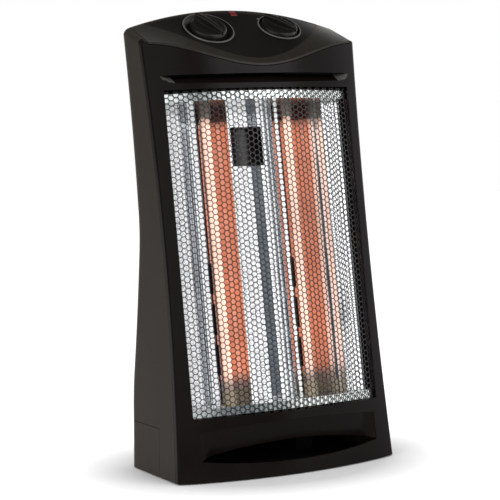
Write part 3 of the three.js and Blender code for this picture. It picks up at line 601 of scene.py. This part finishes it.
def guardTree(inputs):
    tree = bpy.data.node_groups.new("perforatedSheet", "GeometryNodeTree")
    tree.interface.new_socket("Geometry", in_out="OUTPUT", socket_type="NodeSocketGeometry")
    for name, (kind, value) in inputs.items():
        tree.interface.new_socket(name, in_out="INPUT", socket_type="NodeSocket" + kind)
    given = addNode(tree, "NodeGroupInput")
    pitch, thickness, radius = given["Pitch"], given["Thickness"], given["Radius"]

    def add(kind, inputs=None, **settings):
        return addNode(tree, "GeometryNode" + kind, inputs, **settings)

    def sums(operation, *values):
        return maths(tree, operation, *values)

    def moved(geometry, *place):
        spot = addNode(tree, "ShaderNodeCombineXYZ", dict(enumerate(place)))[0]
        return add("SetPosition", {"Geometry": geometry, "Position": spot})[0]

    def welded(geometry):
        return add("MergeByDistance", {"Geometry": geometry, "Distance": guard["weld"]})[0]

    # a flat honeycomb, every second column half a pitch higher
    index = add("InputIndex")[0]
    column = sums("FLOOR", sums("DIVIDE", index, given["Rows"]))
    row = sums("SUBTRACT", index, sums("MULTIPLY", column, given["Rows"]))
    raised = sums("ADD", row, sums("MULTIPLY", sums("MODULO", column, 2), 0.5))
    middleColumn = sums("MULTIPLY", sums("SUBTRACT", given["Columns"], 1), 0.5)
    middleRow = sums("MULTIPLY", sums("SUBTRACT", given["Rows"], 0.5), 0.5)
    stepX = sums("MULTIPLY", pitch, math.cos(math.pi / 6))
    cellX = sums("MULTIPLY", sums("SUBTRACT", column, middleColumn), stepX)
    cellZ = sums("MULTIPLY", sums("SUBTRACT", raised, middleRow), pitch)
    count = sums("MULTIPLY", given["Columns"], given["Rows"])
    lattice = moved(add("Points", {"Count": count})[0], cellX, cellZ, 0)
    corner = sums("DIVIDE", pitch, math.sqrt(3))
    cell = add("MeshCircle", {"Vertices": 6, "Radius": corner}, fill_type="NGON")
    cells = add("InstanceOnPoints", {"Points": lattice, "Instance": cell["Mesh"]})[0]
    flat = welded(add("RealizeInstances", {0: cells})[0])
    # the middle of every cell is punched out, and the rest gets its thickness
    inner = add("ExtrudeMesh", {"Mesh": flat, "Offset Scale": 0, "Individual": True}, mode="FACES")
    middle = {"Geometry": inner["Mesh"], "Selection": inner["Top"], "Scale": given["Hole"]}
    shrunk = add("ScaleElements", middle)[0]
    sheet = add("DeleteGeometry", {"Geometry": shrunk, "Selection": inner["Top"]}, domain="FACE")[0]
    grown = {"Mesh": sheet, "Individual": False, "Offset Scale": thickness}
    thick = add("ExtrudeMesh", grown, mode="FACES")
    both = tree.nodes.new("GeometryNodeJoinGeometry")
    for half in (thick["Mesh"], add("FlipFaces", {0: sheet})[0]):
        tree.links.new(half, both.inputs[0])
    # bent round the bow: its X becomes an angle, its thickness points to the front
    x, z, out = axes(tree, add("InputPosition")[0])
    angle = sums("DIVIDE", x, radius)
    outer = sums("ADD", sums("SUBTRACT", radius, thickness), out)
    bentX = sums("MULTIPLY", sums("SINE", angle), outer)
    forward = sums("MULTIPLY", sums("COSINE", angle), outer)
    bentY = sums("SUBTRACT", sums("ADD", radius, given["Depth"]), forward)
    bent = moved(welded(both.outputs[0]), bentX, bentY, z)
    painted = add("SetMaterial", {"Geometry": bent, "Material": given["Finish"]})[0]
    addNode(tree, "NodeGroupOutput", {0: painted})
    return tree


def makeGuard(finish):
    inputs = {
        "Columns": ("Int", guard["columns"]), "Rows": ("Int", guard["rows"]),
        "Pitch": ("Float", guard["pitch"] * metre), "Hole": ("Float", guard["hole"]),
        "Thickness": ("Float", guard["thickness"] * metre),
        "Radius": ("Float", (tower["bowRadius"] - guard["gap"]) * metre),
        "Depth": ("Float", guard["gap"] * metre), "Finish": ("Material", finish),
    }
    piece = writeMesh("perforatedGuard", [], [])
    modifier = piece.modifiers.new("sheet", "NODES")
    modifier.node_group = guardTree(inputs)
    for item in modifier.node_group.interface.items_tree:
        if item.in_out == "INPUT":
            modifier[item.identifier] = inputs[item.name][1]
    return placedBy(settle(piece), unitMatrix)


chamber = {
    "half": 129, "depth": 106, "sheet": 1, "length": 372,
    "troughX": 58, "troughDepth": 87.7, "middleDepth": 67, "middleHalf": 25, "flange": 2.6,
    # distance from the trough and slope there, down to the middle panel and out to the guard
    "outerWall": ((1.1, 20.7), (7.4, 9.9), (14, 25), (25.6, 54.5), (36.5, 57), (41.3, 68), (41.9, 21.4),
                  (61, 22.8), (64, 7.2)),
    "innerWall": ((1.1, 10), (10, -5), (10.5, 39.4), (22.4, 35.5), (31.7, 56.9), (32.5, 56.6)),
    "seamDepth": 4, "seamFlare": 0.7, "window": (21.5, 110, 160), "ribs": (4, 17, 2),
    "lipGap": 2.2, "lipHeight": 10, "steps": 8,
}
slots = {"x": 58.4, "width": 5.6, "length": 38.5, "pitch": 51.6, "first": -9, "count": 3}
lamps = {
    "apart": 114, "depth": 63.5, "length": 366, "glowEnd": 14, "radius": 6, "bore": 5,
    "capOverlap": 12, "capLength": 34, "capHole": 8.3,
}
coilShape = {"radius": 3.1, "wire": 0.42, "pitch": 2.3, "steps": 12, "sides": 5, "ends": 40}


def troughWall(slopes, side):  # rises from the seam at the bottom of the trough by its slopes
    away, depth = slopes[0][0], chamber["troughDepth"]
    points = [(away - chamber["seamFlare"], depth + chamber["seamDepth"]), (away, depth)]
    for (near, low), (distant, high) in zip(slopes, slopes[1:]):
        step = (distant - near) / chamber["steps"]
        for i in range(chamber["steps"]):
            away += step
            depth -= step * math.tan(math.radians(low + (high - low) * (i + 0.5) / chamber["steps"]))
            points.append((away, depth))
    return [(chamber["troughX"] + side * x, y) for x, y in points]


def foldedSheet(name, folds):
    back = [(x, y + chamber["sheet"]) for x, y in reversed(folds)]
    return prism(name, folds + back, -chamber["length"] / 2, chamber["length"] / 2)


def makeReflector(name, side):
    inner = troughWall(chamber["innerWall"], -1)
    folds = list(reversed(troughWall(chamber["outerWall"], 1))) + inner
    folds.append((chamber["middleHalf"] - chamber["flange"], inner[-1][1]))
    piece = foldedSheet(name, [(side * x, y) for x, y in folds])
    tops = [slots["first"] - i * slots["pitch"] for i in range(slots["count"])]
    cut(piece, *(block("slot", slots["width"] / 2, chamber["middleDepth"], chamber["depth"],
                       high - slots["length"], high, side * slots["x"]) for high in tops))
    return smoothed(placedBy(piece, unitMatrix), 12)


def makeMiddle():
    front = chamber["middleDepth"] + chamber["sheet"] + fit
    start, end, deep = chamber["ribs"]
    right = [(start, front + deep), (end, front), (chamber["middleHalf"] - 0.5, front)]
    piece = foldedSheet("reflectorMiddle", [(-x, y) for x, y in reversed(right)] + right)
    half, low, high = chamber["window"]
    cut(piece, block("window", half, front - 10, front + 20, low, high))
    return smoothed(placedBy(piece, unitMatrix), 5)


def makeEndPlate(name, end):  # closes the reflectors, with a lip that follows the guard
    low = chamber["length"] / 2 + fit
    reach = chamber["half"] - chamber["sheet"] - fit
    rear = chamber["depth"] - fit
    radius = tower["bowRadius"] - guard["gap"]
    bow = [(x, tower["bowRadius"] - math.sqrt(radius ** 2 - x * x) + chamber["lipGap"])
           for x in np.linspace(-reach, reach, 60)]
    back = [(x, y + chamber["sheet"]) for x, y in reversed(bow)]
    plate = prism(name, bow + [(reach, rear), (-reach, rear)], end * low, end * (low + chamber["sheet"]))
    join(plate, prism("lip", bow + back, end * low, end * (low + chamber["lipHeight"])))
    for side in (-1, 1):
        place = shift(side * lamps["apart"] / 2, lamps["depth"], end * low)
        cut(plate, placedBy(rod("hole", lamps["capHole"], -3, 3, 48), place))
    return smoothed(placedBy(plate, unitMatrix), 30)


def lampPlace(side, end=1):
    flip = Matrix.Rotation(0 if end > 0 else math.pi, 4, "X")
    return unitMatrix @ shift(side * lamps["apart"] / 2, lamps["depth"], 0) @ flip


def makeTube(name, side):
    levels = list(np.linspace(-lamps["length"] / 2, lamps["length"] / 2, 25))
    profile = [(lamps["radius"], z) for z in levels] + [(lamps["bore"], z) for z in reversed(levels)]
    return smoothed(placedBy(lathe(name, profile, 40), lampPlace(side)), 40)


def makeLampCap(name, side, end):
    inner = lamps["length"] / 2 - lamps["capOverlap"]
    outer = inner + lamps["capLength"]
    stop = lamps["length"] / 2 + fit
    profile = [(0, outer), (2.2, outer), (2.2, outer - 0.8), (5.2, outer - 0.8), (6.6, outer - 1.2),
               (7.5, outer - 2), (8, outer - 3.2), (8, inner + 7), (7.4, inner + 6.4), (7.4, inner + 5.2),
               (8, inner + 4.6), (8, inner + 0.6), (7.5, inner), (6.3, inner), (6.3, stop), (0, stop)]
    return smoothed(placedBy(lathe(name, profile, 48), lampPlace(side, end)), 40)


def makeCoil(name, side):
    length = lamps["length"] - coilShape["ends"]
    count = int(length / coilShape["pitch"] * coilShape["steps"])
    ring = arc(coilShape["radius"], 0, coilShape["wire"], 0, 2 * math.pi, coilShape["sides"])[:-1]
    sections = []
    for k in range(count + 1):
        angle = 2 * math.pi * k / coilShape["steps"]
        z = (k / count - 0.5) * length
        sections.append([(r * math.cos(angle), r * math.sin(angle), z + up) for r, up in ring])
    return smoothed(placedBy(loft(name, sections), lampPlace(side)), 80)


# Shader node groups hold the effects that several finishes share.
def groupTree(name, inputs, outputs):
    tree = bpy.data.node_groups.new(name, "ShaderNodeTree")
    kinds = {"f": "NodeSocketFloat", "c": "NodeSocketColor", "v": "NodeSocketVector"}
    for label, kind, *value in inputs:
        socket = tree.interface.new_socket(label, in_out="INPUT", socket_type=kinds[kind])
        if value:
            socket.default_value = value[0]
    for label, kind in outputs:
        tree.interface.new_socket(label, in_out="OUTPUT", socket_type=kinds[kind])
    return tree, addNode(tree, "NodeGroupInput"), tree.nodes.new("NodeGroupOutput").inputs


def noise(tree, vector, scale, detail=2.0, rough=0.5):
    inputs = {"Vector": vector, "Scale": scale, "Detail": detail, "Roughness": rough}
    return addNode(tree, "ShaderNodeTexNoise", inputs)["Fac"]


def remap(tree, value, fromLow, fromHigh, toLow=0.0, toHigh=1.0):
    inputs = {"Value": value, "From Min": fromLow, "From Max": fromHigh, "To Min": toLow, "To Max": toHigh}
    return addNode(tree, "ShaderNodeMapRange", inputs)[0]


def mixColour(tree, share, low, high):
    return addNode(tree, "ShaderNodeMix", {0: share, 6: low, 7: high}, data_type="RGBA")[2]


def bumped(tree, height, strength, distance, **below):
    inputs = {"Height": height, "Strength": strength, "Distance": distance, **below}
    return addNode(tree, "ShaderNodeBump", inputs)[0]


def linear(red, green, blue):  # a colour written as on screen, 0 to 255
    def one(c):
        c /= 255
        return c / 12.92 if c <= 0.04045 else ((c + 0.055) / 1.055) ** 2.4
    return (one(red), one(green), one(blue), 1)


def makeGrain():  # the fine spark-eroded texture of a moulded wall
    tree, given, out = groupTree(
        "mouldedGrain", [("Vector", "v"), ("Size", "f", 900.0), ("Depth", "f", 0.4)],
        [("Height", "f"), ("Mask", "f"), ("Normal", "v")])
    fine = noise(tree, given["Vector"], given["Size"], 3, 0.6)
    coarse = noise(tree, given["Vector"], maths(tree, "MULTIPLY", given["Size"], 0.21), 2, 0.5)
    height = maths(tree, "ADD", maths(tree, "MULTIPLY", fine, 0.7), maths(tree, "MULTIPLY", coarse, 0.3))
    fill(tree, out, {"Height": height, "Mask": remap(tree, fine, 0.35, 0.65),
                     "Normal": bumped(tree, height, given["Depth"], 0.0004)})
    return tree


def makeDust():  # a thin veil of dust and the faint mottling of handled plastic
    tree, given, out = groupTree(
        "dustVeil", [("Vector", "v"), ("Colour", "c"), ("Dust", "c", linear(122, 118, 112)),
                     ("Amount", "f", 0.06), ("Scale", "f", 9.0)],
        [("Colour", "c"), ("Mask", "f")])
    cloud = noise(tree, given["Vector"], given["Scale"], 5, 0.6)
    speck = noise(tree, given["Vector"], maths(tree, "MULTIPLY", given["Scale"], 38), 1, 0.4)
    specks = remap(tree, speck, 0.66, 0.78)
    mask = maths(tree, "ADD", remap(tree, cloud, 0.35, 0.75), maths(tree, "MULTIPLY", specks, 0.5))
    share = maths(tree, "MULTIPLY", mask, given["Amount"])
    fill(tree, out, {"Colour": mixColour(tree, share, given["Colour"], given["Dust"]), "Mask": mask})
    return tree


def makeEdgeWear():  # paler plastic where hands rub the edges
    tree, given, out = groupTree(
        "edgeWear", [("Vector", "v"), ("Colour", "c"), ("Worn", "c"), ("Amount", "f", 0.3)],
        [("Colour", "c"), ("Mask", "f")])
    edge = remap(tree, addNode(tree, "ShaderNodeNewGeometry")["Pointiness"], 0.51, 0.56)
    patch = remap(tree, noise(tree, given["Vector"], 60, 3, 0.6), 0.35, 0.7)
    mask = maths(tree, "MULTIPLY", edge, patch)
    share = maths(tree, "MULTIPLY", mask, given["Amount"])
    fill(tree, out, {"Colour": mixColour(tree, share, given["Colour"], given["Worn"]), "Mask": mask})
    return tree


def makeWaves():  # the gentle buckles of thin bright sheet, under fine brush lines
    tree, given, out = groupTree(
        "sheetWaves", [("Vector", "v"), ("Scale", "f", 14.0), ("Depth", "f", 0.5), ("Brush", "f", 0.1)],
        [("Normal", "v"), ("Mask", "f")])
    stretch = addNode(tree, "ShaderNodeMapping", {"Vector": given["Vector"], "Scale": (1, 1, 0.02)})[0]
    buckle = noise(tree, given["Vector"], given["Scale"], 1, 0.4)
    lines = noise(tree, stretch, 1500, 2, 0.5)
    soft = bumped(tree, buckle, given["Depth"], 0.02)
    fill(tree, out, {"Normal": bumped(tree, lines, given["Brush"], 0.0003, Normal=soft),
                     "Mask": remap(tree, lines, 0.3, 0.7)})
    return tree


grainGroup, dustGroup, wearGroup, wavesGroup = makeGrain(), makeDust(), makeEdgeWear(), makeWaves()


def startMaterial(name, settings):
    material = bpy.data.materials.new(name)
    material.use_nodes = True
    tree = material.node_tree
    shader = tree.nodes["Principled BSDF"].inputs
    fill(tree, shader, settings)
    return material, tree, shader, addNode(tree, "ShaderNodeTexCoord")["Object"]


def useGroup(tree, group, **values):
    return addNode(tree, "ShaderNodeGroup", values, node_tree=group)


def plastic(name, colour, rough, grain, depth, dust, wear, shine=0.5):
    material, tree, shader, vector = startMaterial(name, {"Specular IOR Level": shine})
    base = linear(*colour)
    worn = tuple(min(1, c * 1.9 + 0.01) for c in base[:3]) + (1,)
    dusted = useGroup(tree, dustGroup, Vector=vector, Colour=base, Amount=dust)
    rubbed = useGroup(tree, wearGroup, Vector=vector, Colour=dusted["Colour"], Worn=worn, Amount=wear)
    texture = useGroup(tree, grainGroup, Vector=vector, Size=grain, Depth=depth)
    fill(tree, shader, {"Base Color": rubbed["Colour"], "Normal": texture["Normal"],
                        "Roughness": remap(tree, dusted["Mask"], 0, 1, rough - 0.03, rough + 0.05)})
    return material


def sheetMetal(name, colour, rough, scale, depth, brush):
    material, tree, shader, vector = startMaterial(name, {"Metallic": 1.0})
    tint = useGroup(tree, dustGroup, Vector=vector, Colour=linear(*colour), Amount=0.05)
    waves = useGroup(tree, wavesGroup, Vector=vector, Scale=scale, Depth=depth, Brush=brush)
    fill(tree, shader, {"Base Color": tint["Colour"], "Normal": waves["Normal"],
                        "Roughness": remap(tree, waves["Mask"], 0, 1, rough * 0.8, rough * 1.3)})
    return material


finishes = {
    "housing": plastic("housingPlastic", (48, 43, 37), 0.4, 900, 0.25, 0.02, 0.1, 0.05),
    "bezel": plastic("bezelPlastic", (16, 12, 11), 0.2, 1000, 0.12, 0.01, 0.1, 0.06),
    # a painted highlight for the end facets of the recess bar
    "facet": plastic("facetPaintedHighlight", (84, 82, 79), 0.3, 1000, 0.1, 0.01, 0.1),
    # a painted highlight along the top of the raised rings round the dials
    "rim": plastic("ringPaintedHighlight", (82, 79, 74), 0.3, 1100, 0.1, 0.02, 0.1),
    "cap": plastic("capPlastic", (36, 33, 28), 0.3, 1000, 0.2, 0.02, 0.15, 0.1),
    "panel": plastic("panelPlastic", (16, 14, 12), 0.34, 1100, 0.2, 0.01, 0.15, 0.1),
    "knob": plastic("knobPlastic", (18, 16, 14), 0.3, 1300, 0.15, 0.03, 0.35, 0.2),
    # darkened as painted shade, so the parts inside look as unlit as the dark inlet
    "inner": plastic("innerShadePlastic", (15, 14, 14), 0.6, 700, 0.3, 0.04, 0.1, 0.2),
    "cutout": plastic("cutoutShell", (74, 75, 76), 0.5, 700, 0.3, 0.04, 0.1),
    "rubber": plastic("footRubber", (24, 24, 24), 0.75, 600, 0.5, 0.1, 0.05),
    "reflector": sheetMetal("brightAluminium", (244, 245, 247), 0.08, 12, 0.06, 0.03),
    # a dark painted reflection for the fold channel at the bottom of each trough
    "seam": sheetMetal("foldDarkReflection", (84, 76, 74), 0.5, 30, 0.2, 0.1),
    "plate": sheetMetal("endPlateSheet", (205, 210, 208), 0.2, 12, 0.2, 0.1),
    # darker than bare galvanised steel, a painted shade for the unlit inside of the heater
    "zinc": sheetMetal("darkenedZincSteel", (92, 93, 95), 0.45, 30, 0.2, 0.15),
    "chrome": sheetMetal("guardChrome", (54, 53, 52), 0.35, 25, 0.1, 0.05),
}
# front and back: the tube's glow on its forward-looking sides, a painted highlight, and on its
# backward-looking sides
glow = {"warm": (255, 118, 52), "cool": (70, 16, 10), "strength": 2.2, "fade": 16,
        "front": (252, 208, 190), "back": (198, 90, 38), "tubeStrength": 1.0, "low": 0.6}


def facesFront(tree, low, high):  # 1 on what looks forward, 0 on what looks back
    normal = axes(tree, addNode(tree, "ShaderNodeNewGeometry")["Normal"])
    return remap(tree, maths(tree, "MULTIPLY", normal[1], -1), low, high)


def makeCeramic():  # pale and dusty below; above, painted shade: mid grey on the sides that look forward, dark maroon on those that look back
    material, tree, shader, vector = startMaterial("lampCeramic", {"Roughness": 0.55})
    patch = noise(tree, vector, 70, 4, 0.6)
    pale = mixColour(tree, patch, linear(176, 158, 134), linear(212, 196, 170))
    # painted shade on the upper caps: dark maroon where they look back, mid grey where they look forward
    maroonShade = mixColour(tree, patch, linear(84, 38, 36), linear(120, 66, 60))
    upperShade = mixColour(tree, facesFront(tree, 0, 0.5), maroonShade, linear(150, 140, 130))
    high = remap(tree, axes(tree, vector)[2], 0.2, 0.4)
    texture = useGroup(tree, grainGroup, Vector=vector, Size=500, Depth=0.4)
    fill(tree, shader, {"Base Color": mixColour(tree, high, pale, upperShade), "Normal": texture["Normal"]})
    return material


def makeLens():
    settings = {"Roughness": 0.18, "Coat Weight": 0.2, "Specular IOR Level": 0.4}
    material, tree, shader, vector = startMaterial("redLens", settings)
    ridges = addNode(tree, "ShaderNodeTexWave", {"Vector": vector, "Scale": 220})["Fac"]
    fill(tree, shader, {"Base Color": mixColour(tree, ridges, linear(84, 5, 10), linear(116, 10, 18)),
                        "Normal": bumped(tree, ridges, 0.3, 0.0004)})
    return material


def heatAlong(tree, vector):  # 1 along the glowing middle of a lamp, 0 at its cool ends
    half = (lamps["length"] / 2 - lamps["glowEnd"]) * metre
    above = maths(tree, "SUBTRACT", axes(tree, vector)[2], unitMatrix.translation.z)
    hot = remap(tree, maths(tree, "ABSOLUTE", above), half, half - glow["fade"] * metre)
    wander = remap(tree, noise(tree, vector, 14, 2, 0.5), 0.3, 0.7, glow["low"], 1.0)
    return maths(tree, "MULTIPLY", hot, wander)


def makeQuartz():  # milky fused quartz, lit from inside by the wire; its glow is painted pale pink-white where it looks forward, a painted highlight, and orange where it looks back
    settings = {"Roughness": 0.3, "IOR": 1.46, "Transmission Weight": 0.1,
                "Emission Strength": glow["tubeStrength"]}
    material, tree, shader, vector = startMaterial("quartzGlass", settings)
    smoke = remap(tree, noise(tree, vector, 30, 3, 0.5), 0.3, 0.8)
    # painted highlight: the glow is pale pink-white where the tube looks forward and orange where it looks
    # back
    hot = mixColour(tree, facesFront(tree, -0.2, 0.5), linear(*glow["back"]), linear(*glow["front"]))
    fill(tree, shader, {
        "Base Color": mixColour(tree, smoke, linear(196, 172, 158), linear(216, 196, 182)),
        "Emission Color": mixColour(tree, heatAlong(tree, vector), linear(26, 6, 4), hot),
        "Normal": bumped(tree, smoke, 0.1, 0.0005),
    })
    return material


def makeGlow():  # the wire glows along its middle and cools towards both ends of the tube
    settings = {"Roughness": 0.6, "Emission Strength": glow["strength"]}
    material, tree, shader, vector = startMaterial("glowingWire", settings)
    heat = heatAlong(tree, vector)
    fill(tree, shader, {
        "Base Color": mixColour(tree, heat, linear(60, 40, 34), linear(150, 70, 40)),
        "Emission Color": mixColour(tree, heat, linear(*glow["cool"]), linear(*glow["warm"])),
    })
    return material


finishes.update(ceramic=makeCeramic(), lens=makeLens(), quartz=makeQuartz(), glow=makeGlow())
print("finishes made", len(finishes))


def dress(piece, finish, node, bodyName="housing", second=None, where=None):
    mesh = piece.data
    mesh.materials.clear()
    mesh.materials.append(finishes[finish])
    if second:  # faces picked by their middle, in millimetres, wear a second finish
        mesh.materials.append(finishes[second])
        for face in mesh.polygons:
            face.material_index = int(where(face.center / metre))
    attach(piece, bodyName)
    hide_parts(node)


# faces of the recess bar's end facets, which wear a painted highlight
def onBarEnd(spot):
    ceilingGap, frontGap = bezel["barEnd"]
    half = bezel["barWidth"] / 2
    sunk = spot.y - frontY(spot.x, spot.z)
    return (bezel["barLip"] < spot.z < bezel["barCeiling"] - ceilingGap
            and half - bezel["barFacet"] < abs(spot.x) < half and frontGap < sunk < bezel["barDepth"])


# faces on the top edge of a dial's raised ring, which wear a painted highlight
def onRim(spot):
    inside, outside, below = panel["rimBand"]
    for dial in dials.values():
        local = (dialMatrix(dial).inverted() @ (spot * metre)) / metre
        away = math.hypot(local.x, local.y) - dial["ring"]
        if -inside < away < outside and local.z > panel["ringHeight"] - below:
            return True
    return False


# faces in the fold channel, which wear the dark painted reflection
def onSeam(spot):
    return (unitMatrix.inverted() @ (spot * metre)).y / metre > chamber["troughDepth"] + 0.2


# the end facets of the recess bar wear a painted highlight
dress(bezelPiece, "bezel", "front_bezel", second="facet", where=onBarEnd)
dress(housingPiece, "housing", "rear_housing")
dress(footPiece, "housing", "base_foot")
dress(capPiece, "cap", "top_cap")
# the dial rings wear a painted highlight
dress(panelPiece, "panel", "control_panel", second="rim", where=onRim)
dress(lensPiece, "lens", "indicator_lens")
for name, knob in knobPieces.items():
    dress(knob, "knob", name + "_knob", name + "_dial")

guardPiece = makeGuard(finishes["chrome"])
print("guard", len(guardPiece.data.polygons), "faces")
dress(guardPiece, "chrome", "grille")
ends = (("Top", 1), ("Bottom", -1))
for side, name in ((-1, "Left"), (1, "Right")):
    node = name.lower()
    dress(makeCoil("coil" + name, side), "glow", "heating_coil_" + node)
    dress(makeTube("quartzTube" + name, side), "quartz", "quartz_tube_" + node)
    # the fold channel of each reflector wears a dark painted reflection
    dress(makeReflector("reflector" + name, side), "reflector", "reflector_" + node,
          second="seam", where=onSeam)
    for place, end in ends:
        dress(makeLampCap("lampCap" + place + name, side, end), "ceramic",
              "lamp_cap_" + place.lower() + "_" + node)
for place, end in ends:
    plate = makeEndPlate("endPlate" + place, end)
    dress(plate, "plate", "reflector_" + place.lower() + "_plate")
dress(makeMiddle(), "reflector", "reflector_middle")
print("heating unit made")

# The CAD parts that stay in the picture, by the start of their names.
nodeFinish = {
    # the inner parts wear the darkened plastic, a painted shade for the unlit inside
    "inner": ("base_plate", "thermostat_body", "selector_switch", "tip_switch_body"),
    # chassis, shafts, plunger and spring wear the darkened zinc, a painted shade
    "zinc": ("thermostat_shaft", "selector_shaft", "tip_plunger", "tip_spring", "chassis"),
    "rubber": ("cord_gland", "rubber_foot"), "lens": ("indicator_lamp",), "cutout": ("thermal_cutout",),
}
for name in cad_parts:
    match = [finish for finish, starts in nodeFinish.items() if name.startswith(starts)]
    if name in bpy.data.objects and match:
        mesh = bpy.data.objects[name].data
        mesh.materials.clear()
        mesh.materials.append(finishes[match[0]])

studio = {
    "ambient": 0.62, "floorGlow": (0, 0.6), "floorFade": (0.15, 0.27), "floorShine": 0.1,
    "floorSize": 40, "floorFront": 0.45,
    # the room that shiny faces see: degrees from the front towards the right, brightness, blueness
    "room": ((-180, 0.9, 0), (-166, 0.45, 0), (-150, 0.2, 0), (-14, 0.2, 0), (-6, 0.22, 0.22),
             (20, 0.22, 0.22), (24, 1.6, 0), (60, 1.5, 0), (84, 2.6, 0), (120, 1.0, 0), (180, 0.9, 0)),
    "above": 0.1, "boxDistance": 3.0, "boxTarget": (0, 0, 0.3),
    "leftBox": {"azimuth": -50, "elevation": 14, "spread": (76, 36), "radiance": 1.5},
    "rightBox": {"azimuth": 22, "elevation": 25, "spread": (36, 16), "radiance": 5.5},
}


def rayKinds(tree):
    path = addNode(tree, "ShaderNodeLightPath")
    return path["Is Camera Ray"], maths(tree, "MAXIMUM", path["Is Glossy Ray"], path["Is Transmission Ray"])


# White floor and backdrop; shiny faces see the backdrop behind, a dark room in front and two softboxes.
def makeFloor():
    middle = studio["floorSize"] / 2 - studio["floorFront"]
    bpy.ops.mesh.primitive_plane_add(size=studio["floorSize"], location=(0, middle, 0))
    floor = bpy.context.object
    floor.name = "studioFloor"
    settings = {"Roughness": 0.9, "Specular IOR Level": 0.1, "Emission Color": (1, 1, 1, 1)}
    material, tree, shader, vector = startMaterial("paleFloor", settings)
    seen, shiny = rayKinds(tree)
    ends = {0: vector, 1: (0, -middle, 0)}
    away = addNode(tree, "ShaderNodeVectorMath", ends, operation="DISTANCE")["Value"]
    lift = remap(tree, away, *studio["floorFade"], *studio["floorGlow"])
    light = maths(tree, "ADD", maths(tree, "MULTIPLY", seen, lift),
                  maths(tree, "MULTIPLY", shiny, studio["floorShine"]))
    faint = noise(tree, vector, 2, 2, 0.5)
    fill(tree, shader, {"Base Color": mixColour(tree, faint, (0.9, 0.9, 0.9, 1), (0.92, 0.92, 0.92, 1)),
                        "Emission Strength": light})
    floor.data.materials.append(material)


def makeWorld():
    world = bpy.data.worlds.new("studio")
    bpy.context.scene.world = world
    world.use_nodes = True
    tree = world.node_tree
    seen, shiny = rayKinds(tree)
    x, y, z = axes(tree, addNode(tree, "ShaderNodeTexCoord")["Generated"])
    turn = maths(tree, "ARCTAN2", x, maths(tree, "MULTIPLY", y, -1))
    ramp = tree.nodes.new("ShaderNodeValToRGB")
    feed(tree, remap(tree, turn, -math.pi, math.pi), ramp.inputs[0])
    stops = ramp.color_ramp.elements
    last = len(studio["room"]) - 1
    for i, (degrees, bright, blue) in enumerate(studio["room"]):
        place = degrees / 360 + 0.5
        stop = stops[0] if i == 0 else stops[-1] if i == last else stops.new(place)
        stop.position = place
        stop.color = (bright * (1 - blue), bright * (1 - blue / 2), bright, 1)
    high = remap(tree, z, 0.4, 0.75, 1, studio["above"])
    plain = maths(tree, "ADD", maths(tree, "MULTIPLY", seen, 1 - studio["ambient"]), studio["ambient"])
    fill(tree, tree.nodes["Background"].inputs, {
        "Color": mixColour(tree, shiny, (1, 1, 1, 1), ramp.outputs[0]),
        "Strength": addNode(tree, "ShaderNodeMix", {0: shiny, 2: plain, 3: high})[0],
    })


def softbox(name, azimuth, elevation, spread, radiance):
    turn, rise = math.radians(azimuth), math.radians(elevation)
    away = Vector((math.sin(turn) * math.cos(rise), -math.cos(turn) * math.cos(rise), math.sin(rise)))
    distance = studio["boxDistance"]
    light = bpy.data.lights.new(name, "AREA")
    light.shape = "RECTANGLE"
    light.size, light.size_y = (2 * distance * math.tan(math.radians(s / 2)) for s in spread)
    light.energy = radiance * math.pi * light.size * light.size_y
    lamp = addObject(name, light)
    lamp.location = Vector(studio["boxTarget"]) + away * distance
    lamp.rotation_euler = (-away).to_track_quat("-Z", "Y").to_euler()


def makeCamera():
    data = bpy.data.cameras.new("camera")
    camera = addObject("camera", data)
    place = (-0.80937, -1.70104, 0.34557)
    right = Vector((0.9016479, -0.4292973, -0.0522961))
    down = Vector((-0.0639769, -0.0128115, -0.9978691))
    ahead = Vector((0.4277125, 0.9030724, -0.0390165))
    camera.matrix_world = Matrix.Translation(place) @ Matrix((right, -down, -ahead)).transposed().to_4x4()
    data.sensor_width = 36
    data.lens = 106.55
    bpy.context.scene.camera = camera


makeFloor()
makeWorld()
for name in ("leftBox", "rightBox"):
    softbox(name, **studio[name])
makeCamera()
bpy.context.scene.view_settings.view_transform = "Standard"
print("studio made")
